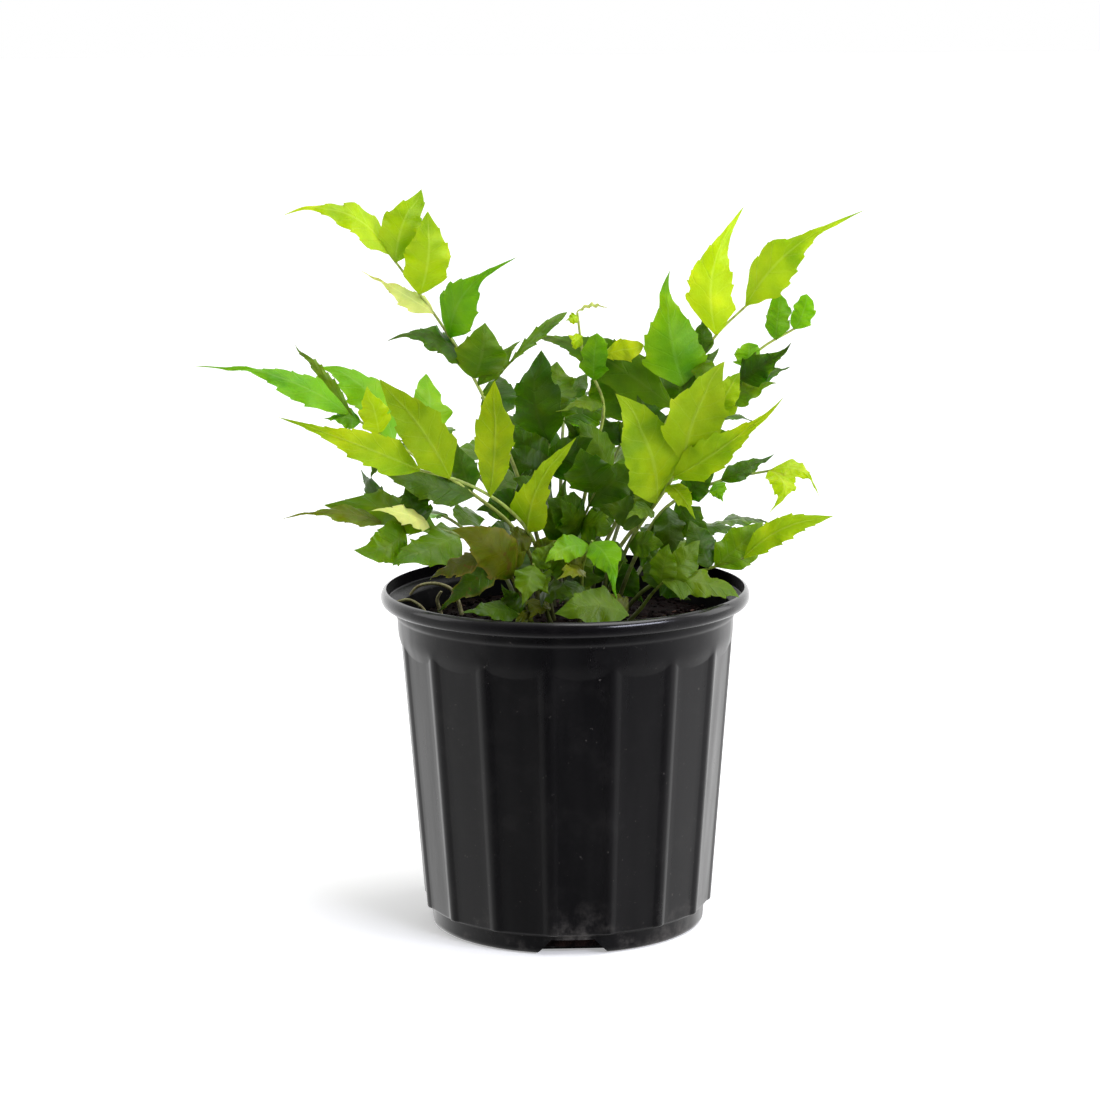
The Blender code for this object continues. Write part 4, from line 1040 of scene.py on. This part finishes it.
def add_relief(tree, shader, height, strength, distance):
    """Lets this height roughen the shader's surface."""
    bump = add_node(tree, "ShaderNodeBump", {"Height": height, "Strength": strength, "Distance": distance})
    tree.links.new(bump.outputs["Normal"], shader.inputs["Normal"])


def new_finish(name, roughness, specular=0.5):
    """A material and its shader, with the values that are alike all over."""
    made = bpy.data.materials.new(name)
    made.use_nodes = True
    shader = made.node_tree.nodes["Principled BSDF"]
    shader.inputs["Roughness"].default_value = roughness
    shader.inputs["Specular IOR Level"].default_value = specular
    return made, made.node_tree, shader


def leaf_finish(name, lower, gloss, spots=0.0):
    """A leaflet's side: tinted point by point, with a midrib, side veins, a fine net and mottling."""
    made, tree, shader = new_finish(name, gloss, 0.1 if lower else 0.17)
    place = scaled(tree, attribute(tree, "leaf_place"), (1, 1, 0.07))
    parts = add_node(tree, "ShaderNodeSeparateXYZ", {"Vector": attribute(tree, "leaf_share")}).outputs
    tint = attribute(tree, "leaf_tint")
    off_rib = calculate(tree, "ABSOLUTE", parts["Y"])
    run = calculate(tree, "MULTIPLY_ADD", parts["X"], SIDE_VEINS, product(tree, off_rib, -VEIN_SLANT))
    wander = product(tree, speckle(tree, place, 160, 1.0), 0.35)
    line = calculate(tree, "PINGPONG", calculate(tree, "ADD", run, wander), 0.5)
    veins = ramp(tree, line, 0.0, 0.07, 1.0, 0.0)
    rib = ramp(tree, off_rib, 0.02, 0.09, 1.0, 0.0)
    cells = {"Vector": place, "Scale": 620.0}
    net = add_node(tree, "ShaderNodeTexVoronoi", cells, feature="DISTANCE_TO_EDGE").outputs["Distance"]
    net_line = ramp(tree, net, 0.0, 0.16, 1.0, 0.0)
    mottle = speckle(tree, place, 130, 4.0)
    patches = speckle(tree, place, 42, 2.0)
    shade = mix_colours(tree, ramp(tree, patches, 0.5, 0.72, 0.0, 0.8), tint, varied(tree, tint, 0.475, 1.25))
    shade = mix_colours(tree, ramp(tree, patches, 0.5, 0.3, 0.0, 0.8), shade, varied(tree, tint, 0.53, 0.62))
    shade = mix_colours(tree, ramp(tree, mottle, 0.3, 0.7, 0.0, 0.4), shade, varied(tree, shade, 0.5, 0.72))
    pale = varied(tree, tint, 0.49, 1.45, 0.85)
    lines = calculate(tree, "MAXIMUM", product(tree, veins, 0.1 if lower else 0.07), product(tree, rib, 0.22))
    shade = mix_colours(tree, lines, shade, pale)
    shade = mix_colours(tree, product(tree, net_line, 0.05), shade, pale)
    if spots:
        blot = ramp(tree, speckle(tree, place, 210, 2.0), 0.58, 0.66, 0.0, spots)
        shade = mix_colours(tree, blot, shade, SPOT_BROWN)
        shade = mix_colours(tree, ramp(tree, off_rib, 0.72, 1.0, 0.0, spots * 0.8), shade, EDGE_BROWN)
    put(tree, shader.inputs["Base Color"], shade)
    hand = 1 if lower else -1
    raised = calculate(tree, "ADD", product(tree, veins, 0.9 * hand), product(tree, net_line, 0.25 * hand))
    add_relief(tree, shader, raised, 0.5, 0.25 * MM)
    put(tree, shader.inputs["Roughness"], ramp(tree, mottle, 0.3, 0.7, gloss - 0.06, gloss + 0.1))
    shader.inputs["Subsurface Weight"].default_value = 0.3
    shader.inputs["Subsurface Radius"].default_value = (0.35, 0.6, 0.08)
    shader.inputs["Subsurface Scale"].default_value = 0.003
    return made


def stem_finish():
    """Pale green stems with a little grain."""
    made, tree, shader = new_finish("stem", 0.45)
    tint = attribute(tree, "leaf_tint")
    grain = speckle(tree, object_place(tree), 400, 3.0)
    streaked = mix_colours(tree, ramp(tree, grain, 0.4, 0.7), tint, varied(tree, tint, 0.48, 0.55))
    put(tree, shader.inputs["Base Color"], streaked)
    add_relief(tree, shader, grain, 0.3, 0.3 * MM)
    return made


def plastic_finish(name, specular):
    """Black moulded plastic, smoother on the rim: faint grain, scuffs, and pale dust low on the wall."""
    made, tree, shader = new_finish(name, 0.3, specular)
    place = object_place(tree)
    height = add_node(tree, "ShaderNodeSeparateXYZ", {"Vector": place}).outputs["Z"]
    streaks = speckle(tree, scaled(tree, place, (1, 1, 0.12)), 90, 5.0)
    dust = speckle(tree, place, 55, 6.0, 0.7)
    specks = ramp(tree, speckle(tree, place, 520, 2.0), 0.71, 0.76)
    low = ramp(tree, height, 0.0, 0.03, 1.0, 0.0)
    dusty = product(tree, ramp(tree, dust, 0.5, 0.75), calculate(tree, "MULTIPLY_ADD", low, 0.4, 0.03))
    dusty = calculate(tree, "MAXIMUM", dusty, product(tree, specks, 0.25))
    colour = mix_colours(tree, ramp(tree, streaks, 0.35, 0.75), *PLASTIC_BLACKS)
    put(tree, shader.inputs["Base Color"], mix_colours(tree, dusty, colour, DUST))
    rough = ramp(tree, streaks, 0.3, 0.75, 0.27, 0.38)
    rough = product(tree, rough, ramp(tree, height, *RIM_FINISH, 1.0, 0.6))
    put(tree, shader.inputs["Roughness"], calculate(tree, "MULTIPLY_ADD", dusty, 0.4, rough))
    fine = product(tree, speckle(tree, place, 1400, 2.0), 0.2)
    grain = calculate(tree, "MULTIPLY_ADD", streaks, 0.5, fine)
    add_relief(tree, shader, grain, ramp(tree, height, *RIM_FINISH, 0.25, 0.03), 0.4 * MM)
    return made


def soil_finish():
    """Damp dark peat with reddish-brown fibres."""
    made, tree, shader = new_finish("peat", 0.9, 0.05)
    place = object_place(tree)
    fine = speckle(tree, place, 900, 4.0, 0.6)
    colour = mix_colours(tree, ramp(tree, speckle(tree, place, 240, 6.0, 0.7), 0.35, 0.7), *PEAT_BROWNS)
    fibres = ramp(tree, fine, 0.62, 0.76, 0.0, 0.6)
    put(tree, shader.inputs["Base Color"], mix_colours(tree, fibres, colour, PEAT_FIBRE))
    add_relief(tree, shader, fine, 0.8, 0.8 * MM)
    return made


def patchy_finish(name, roughness, specular, scale, colours, strength, distance):
    """A dry, rough material in patches of two colours."""
    made, tree, shader = new_finish(name, roughness, specular)
    patch = speckle(tree, object_place(tree), scale, 4.0)
    put(tree, shader.inputs["Base Color"], mix_colours(tree, ramp(tree, patch, 0.35, 0.7), *colours))
    add_relief(tree, shader, patch, strength, distance)
    return made


def plain_shape(points, faces):
    """A shape in its object's first material, without a leaflet's places and tints."""
    return FineShape(list(points), list(faces), [0] * len(faces), [], [], [])


def rounded(corners):
    """A profile whose corners (radius, height, how far the rounding reaches) are short curves."""
    points = []
    last = len(corners) - 1
    for i, (r, z, reach) in enumerate(corners):
        here = Vector((r, z))
        if i in (0, last) or not reach:
            points.append(here)
            continue
        before = Vector(corners[i - 1][:2]) - here
        after = Vector(corners[i + 1][:2]) - here
        start = here + before.normalized() * min(reach, before.length * 0.48)
        end = here + after.normalized() * min(reach, after.length * 0.48)
        for k in range(CORNER_STEPS):
            t = k / (CORNER_STEPS - 1)
            points.append(start * (1 - t) ** 2 + here * 2 * t * (1 - t) + end * t * t)
    return points


def pot_column(offset):
    """The pot's profile at this angle from a panel's middle: from below, up over the rim and inside."""
    pitch = math.tau / FLUTES
    away = abs((offset + pitch / 2) % pitch - pitch / 2)
    start = PANEL_HALF_ANGLE - FLUTE_SOFTNESS
    rise = min(max((away - start) / (RIB_HALF_ANGLE + FLUTE_SOFTNESS - start), 0), 1)
    rise = rise * rise * (3 - 2 * rise)

    def fluted(radius):
        flat = (radius - PANEL_RECESS) * math.cos(PANEL_HALF_ANGLE) / math.cos(min(away, PANEL_HALF_ANGLE))
        return flat + (radius - flat) * rise

    under = POT_HEIGHT - RIM_DEPTH
    flute_top = POT_HEIGHT - COLLAR_DEPTH
    ridge = POT_HEIGHT - RIDGE_DEPTH
    top = fluted(FLUTE_TOP_RADIUS)
    crescent = flute_top - (FLUTE_TOP_RADIUS - top) / CRESCENT_SLOPE
    inner_top, inner_foot = inner_wall()
    return rounded([
        (FOOT_RADIUS - BOTTOM_RING_INSET, 0, 0),
        (FOOT_RADIUS - FOOT_BEVEL, 0, 0.7 * MM),
        (FOOT_RADIUS - 0.2 * MM, 1.6 * MM, 1 * MM),
        (FOOT_RADIUS, FOOT_HEIGHT, 0.4 * MM),
        (fluted(FLUTE_FOOT_RADIUS), FOOT_HEIGHT + FOOT_LEDGE, 0.8 * MM),
        (top, crescent, 0.4 * MM),
        (COLLAR_RADIUS - COLLAR_TUCK, flute_top + COLLAR_TUCK_HEIGHT, 3 * MM),
        (COLLAR_RADIUS, ridge - RIDGE_HALF_HEIGHT, 0.6 * MM),
        (COLLAR_RADIUS + RIDGE_PROUD, ridge, 1.2 * MM),
        (COLLAR_RADIUS + COLLAR_FLARE, under, 0.4 * MM),
        *[(MOUTH_RADIUS + (RIM_RADIUS - MOUTH_RADIUS) * math.cos(t),
           POT_HEIGHT + BEAD_DEPTH / 2 * (math.sin(t) - 1), 0) for t in BEAD_TURNS],
        (MOUTH_RADIUS, POT_HEIGHT - 0.6 * MM, 0.5 * MM),
        (MOUTH_RADIUS, under + SHELF_STEP, 0.6 * MM),
        (*inner_top, 0.6 * MM),
        (*inner_foot, 1 * MM),
        (inner_foot[0] - BOTTOM_RING_INSET, inner_foot[1], 0),
    ])


def add_pot(finishes):
    """The pot as one smooth moulded shell, with the drain notches cut into its foot."""
    pitch = math.tau / FLUTES
    flat = PANEL_HALF_ANGLE - FLUTE_SOFTNESS
    offsets = [-flat + 2 * flat * i / PANEL_STEPS for i in range(PANEL_STEPS)]
    offsets += [flat + (pitch - 2 * flat) * i / RIB_STEPS for i in range(RIB_STEPS)]
    columns = []
    for k in range(FLUTES):
        for offset in offsets:
            angle = FLUTE_TURN + pitch * k + offset
            columns.append([Vector((*around(p.x, angle), p.y)) for p in pot_column(offset)])
    count = len(columns)
    rings = len(columns[0])
    points = [columns[k][i] for i in range(rings) for k in range(count)]
    faces = [tuple(range(count)), tuple(range(len(points) - count, len(points))), *bands(rings, count)]
    shell = plain_shape(points, faces)
    inside = 2 + (rings - INSIDE_RINGS) * count
    shell.slots[inside:] = [1] * (len(faces) - inside)
    pot = add_mesh("moulded_pot", [shell], finishes)
    cut_notches(pot, finishes[0])
    pot.data.set_sharp_from_angle(angle=POT_SHARP_ANGLE)
    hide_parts("pot")


def cut_notches(pot, finish):
    """Cuts the drain notches out of the foot."""
    tools = bpy.data.collections.new("notch_tools")
    bpy.context.scene.collection.children.link(tools)
    foot, top = NOTCH_FOOT_WIDTH / 2, NOTCH_TOP_WIDTH / 2
    inner, outer = (FOOT_RADIUS + reach for reach in NOTCH_REACH)
    right = [(foot, -NOTCH_HEIGHT / 3), (foot, 0), (top, NOTCH_HEIGHT)]
    outline = right + [(-x, z) for x, z in reversed(right)]
    count = len(outline)
    for k in range(NOTCHES):
        turn = Matrix.Rotation(NOTCH_TURN + math.tau * k / NOTCHES, 3, "Z")
        points = [turn @ Vector((x, -depth, z)) for depth in (outer, inner) for x, z in outline]
        faces = [tuple(range(count)), tuple(range(2 * count - 1, count - 1, -1))]
        faces += [(i, i + count, (i + 1) % count + count, (i + 1) % count) for i in range(count)]
        tool = add_mesh(f"notch_tool_{k + 1}", [plain_shape(points, faces)], [finish])
        bpy.context.scene.collection.objects.unlink(tool)
        tools.objects.link(tool)
    modifier = pot.modifiers.new("Boolean", "BOOLEAN")
    modifier.operand_type = "COLLECTION"
    modifier.operation = "DIFFERENCE"
    modifier.solver = "EXACT"
    modifier.collection = tools
    bpy.context.view_layer.objects.active = pot
    bpy.ops.object.modifier_apply(modifier=modifier.name)
    for tool in list(tools.objects):
        bpy.data.objects.remove(tool)
    bpy.data.collections.remove(tools)


def soil_top(x, y):
    """The soil's height here, with its lumps and crumbs."""
    radius = math.hypot(x, y)
    place = Vector((x, y, 0))
    lumps = sum(noise.noise(place * fineness) * height for fineness, height in SOIL_LUMPS)
    edge = inner_radius(POT_HEIGHT - SOIL_DEPTH)
    return soil_height(radius) + lumps * MM * min(1, (edge - radius) / (4 * MM) + 0.35)


def add_soil(finish, bark):
    """The soil's rough surface and body, then its loose crumbs and bits of bark."""
    rng = random.Random("crumbs")
    bottom = FLOOR_TOP + SOIL_LIFT
    edge = inner_radius(POT_HEIGHT - SOIL_DEPTH) - SOIL_GAP / 4
    low = inner_radius(bottom) - SOIL_GAP
    points = []
    rings = [(low, bottom)] + [(edge * (1 - i / SOIL_FINE_RINGS), None) for i in range(SOIL_FINE_RINGS)]
    for radius, height in rings:
        for k in range(SOIL_FINE_SIDES):
            x, y = around(radius, math.tau * k / SOIL_FINE_SIDES)
            points.append(Vector((x, y, soil_top(x, y) if height is None else height)))
    faces = [tuple(range(SOIL_FINE_SIDES)), *bands(len(rings), SOIL_FINE_SIDES)]
    crown = len(points)
    points.append(Vector((0, 0, soil_top(0, 0))))
    first = crown - SOIL_FINE_SIDES
    faces += [(first + k, first + (k + 1) % SOIL_FINE_SIDES, crown) for k in range(SOIL_FINE_SIDES)]
    soil = add_mesh("peat_surface", [plain_shape(points, faces)], [finish])
    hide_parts("potting_soil")
    crumbs = [crumb(rng, edge, CRUMB_SIZES, CRUMB_FORM) for _ in range(CRUMBS)]
    loose = add_mesh("peat_crumbs", crumbs, [finish])
    bits = [crumb(rng, edge, CHIP_SIZES, CHIP_FORM) for _ in range(CHIPS)]
    chips = add_mesh("bark_bits", bits, [bark])


def crumb(rng, edge, sizes, form):
    """One loose lump on the soil: a rough ball, squashed to this form."""
    work = bmesh.new()
    bmesh.ops.create_icosphere(work, subdivisions=2, radius=1)
    angle = rng.uniform(0, math.tau)
    radius = (edge - 2 * MM) * math.sqrt(rng.random())
    x, y = around(radius, angle)
    size = rng.uniform(*sizes) * MM / 2 * (LARGE_GROWTH if rng.random() < LARGE_SHARE else 1)
    turn = Matrix.Rotation(rng.uniform(0, math.tau), 3, "Z") @ Matrix.Rotation(rng.uniform(-0.5, 0.5), 3, "X")
    shift = Vector([rng.uniform(0, 90) for _ in range(3)])
    centre = Vector((x, y, soil_top(x, y) + size * 0.3))
    points = []
    for vert in work.verts:
        rough = 1 + 0.5 * noise.noise(vert.co * 1.4 + shift)
        local = Vector([a * b for a, b in zip(vert.co, form)]) * size * rough
        points.append(centre + turn @ local)
    faces = [tuple(vert.index for vert in face.verts) for face in work.faces]
    work.free()
    return plain_shape(points, faces)


def add_old_stipes(finish):
    """The old cut stipes, thinner to their ends."""
    for k, places in enumerate(OLD_STIPES):
        path = smooth_path([vector(place) for place in places])
        steps = range(OLD_STIPE_STEPS + 1)
        stations = [planted(path)] + [along_path(path, i / OLD_STIPE_STEPS)[0] for i in steps]
        last = len(stations) - 1
        radii = [OLD_STIPE_RADIUS * FINE_STEM * (1 - OLD_STIPE_TAPER * i / last) for i in range(last + 1)]
        shape = plain_shape(*tube(stations, radii, STEM_ROUND_SIDES))
        stipe = add_mesh(f"dry_stipe_{k + 1}", [shape], [finish])
        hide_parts(f"old_stipe_{k + 1}")


def fill_fronds(fronds):
    """Puts the further leaflets on their fronds, each clear of every other frond, the pot and the soil."""
    fixed = fixed_trees()
    trees = {}
    for name, (path, leaves) in fronds.items():
        trees[name] = [BVHTree.FromPolygons(*stem_shape(path)), *[blade_tree(leaf) for leaf in leaves]]
    for name, rows in MORE_LEAFLETS.items():
        path, leaves = fronds[name]
        rng = random.Random("more " + name)
        others = fixed + [tree for other, made in trees.items() if other != name for tree in made]
        for row in rows:
            leaf = clear_leaf(path, row, draw_leaf(rng), others, [free_part(leaf) for leaf in leaves])
            if leaf:
                leaves.append(leaf)
                trees[name].append(blade_tree(leaf))
    return fronds


def add_fronds(slots):
    """Every frond again, fine: its smooth stem and its toothed leaflets."""
    stem = stem_finish()
    uppers = {
        "leaf_green": leaf_finish("leaf_green", False, 0.36),
        "leaf_young": leaf_finish("leaf_young", False, 0.42),
        "leaf_old": leaf_finish("leaf_old", False, 0.45, 0.6),
    }
    uppers["leaf_underside"] = uppers["leaf_young"]
    lower = leaf_finish("leaf_lower_side", True, 0.55)
    for name, (path, leaves) in fill_fronds(grow_fronds()).items():
        rng = random.Random("fine " + name)
        slot = slots[f"frond_{name}"]
        smooth, shape = fine_stem(path, STEM_TINTS[slot], STEM_FOOT_TINT)
        shapes = [shape]
        for leaf in leaves:
            light = rng.uniform(*TINT_SPREAD)
            # Leaflets of the "dark" tone take its painted-shade tint
            tint = tuple(c * light for c in TINTS[leaf.tone])
            near = min(smooth, key=lambda point: (point - leaf.base).length)
            leaf = leaf._replace(base=leaf.base.lerp(near, 0.5))
            shapes.append(fine_blade(leaf, tint, rng))
        frond = add_mesh(f"fern_{name}", shapes, [uppers[slot], lower, stem])
        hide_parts(f"frond_{name}")


def record_slots():
    """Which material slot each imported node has."""
    return {part["node"]: part["material_slot"] for part in frame["record"]["subparts"]}


def add_light(data, place, way):
    """Puts this light at the place, shining this way."""
    light = bpy.data.objects.new(data.name, data)
    light.location = place
    light.rotation_mode = "QUATERNION"
    light.rotation_quaternion = way.to_track_quat("-Z", "Y")
    bpy.context.scene.collection.objects.link(light)


def add_lights():
    """A broad sun, the same all over the floor, and soft area lights."""
    key = bpy.data.lights.new("key", "SUN")
    key.energy = KEY_POWER
    key.angle = KEY_SPREAD
    add_light(key, KEY_PLACE, -Vector(KEY_PLACE))
    for name, place, size, power, colour in LIGHTS:
        data = bpy.data.lights.new(name, "AREA")
        data.shape = "RECTANGLE"
        data.size, data.size_y = size
        data.energy = power
        data.color = colour
        add_light(data, place, Vector(LIGHT_AIM) - Vector(place))


def add_floor():
    """A plain pale floor, faintly mottled, that glows a little so that shadows stay light."""
    finish, tree, shader = new_finish("studio_floor", 0.8, 0.2)
    tone = ramp(tree, speckle(tree, object_place(tree), 3), 0.3, 0.7, 0.9, 0.93)
    grey = add_node(tree, "ShaderNodeCombineColor", {"Red": tone, "Green": tone, "Blue": tone}).outputs[0]
    put(tree, shader.inputs["Base Color"], grey)
    shader.inputs["Emission Color"].default_value = (1, 1, 1, 1)
    shader.inputs["Emission Strength"].default_value = FLOOR_GLOW
    mesh = bpy.data.meshes.new("floor")
    corners = [(-1, -1), (1, -1), (1, 1), (-1, 1)]
    points = [(x * FLOOR_REACH, y * FLOOR_REACH, -FLOOR_DROP) for x, y in corners]
    mesh.from_pydata(points, [], [(0, 1, 2, 3)])
    mesh.materials.append(finish)
    floor = bpy.data.objects.new("floor", mesh)
    floor.visible_glossy = False
    bpy.context.scene.collection.objects.link(floor)


def add_surround():
    """A surround, white in view, that lights the plant softly and is brightest behind it."""
    world = bpy.data.worlds.new("studio")
    world.use_nodes = True
    tree = world.node_tree
    way = add_node(tree, "ShaderNodeTexCoord").outputs["Generated"]
    ahead = add_node(tree, "ShaderNodeSeparateXYZ", {"Vector": way}).outputs["Y"]
    soft = ramp(tree, ahead, -0.2, 0.8, 0.1, 0.9)
    near = ramp(tree, ahead, -1.0, 0.2, 0.05, 0.75)
    mirrored = calculate(tree, "ADD", near, ramp(tree, ahead, 0.2, 0.95, 0.0, 1.05))
    ray = add_node(tree, "ShaderNodeLightPath").outputs
    change = calculate(tree, "SUBTRACT", mirrored, soft)
    strength = calculate(tree, "MULTIPLY_ADD", ray["Is Glossy Ray"], change, soft)
    strength = calculate(tree, "MAXIMUM", strength, ray["Is Camera Ray"])
    background = tree.nodes["Background"]
    background.inputs["Color"].default_value = (1, 1, 1, 1)
    put(tree, background.inputs["Strength"], strength)
    bpy.context.scene.world = world


def add_camera():
    """The camera at the photograph's viewing angle."""
    level = Vector((1, 0, 0))
    up = Vector((0, math.sin(CAMERA_PITCH), math.cos(CAMERA_PITCH)))
    ahead = Vector((0, math.cos(CAMERA_PITCH), -math.sin(CAMERA_PITCH)))
    cosine, sine = math.cos(CAMERA_ROLL), math.sin(CAMERA_ROLL)
    turned = Matrix((level * cosine - up * sine, up * cosine + level * sine, -ahead)).transposed()
    data = bpy.data.cameras.new("camera")
    data.sensor_width = CAMERA_SENSOR
    data.lens = CAMERA_LENS
    data.clip_end = CAMERA_CLIP
    camera = bpy.data.objects.new("camera", data)
    camera.matrix_world = Matrix.Translation(CAMERA_PLACE) @ turned.to_4x4()
    bpy.context.scene.collection.objects.link(camera)
    bpy.context.scene.camera = camera


def main():
    bark = patchy_finish("bark_bits", 0.85, 0.3, 120, BARK_BROWNS, 0.7, 0.6 * MM)
    straw = patchy_finish("old_stipe", 0.6, 0.35, 330, STRAWS, 0.4, 0.4 * MM)
    add_pot([plastic_finish("black_plastic", 0.4), plastic_finish("pot_inside", 0.06)])
    add_soil(soil_finish(), bark)
    add_old_stipes(straw)
    add_fronds(record_slots())
    add_floor()
    add_surround()
    add_lights()
    add_camera()
    scene = bpy.context.scene
    scene.view_settings.view_transform = "Standard"
    scene.cycles.use_denoising = True


main()
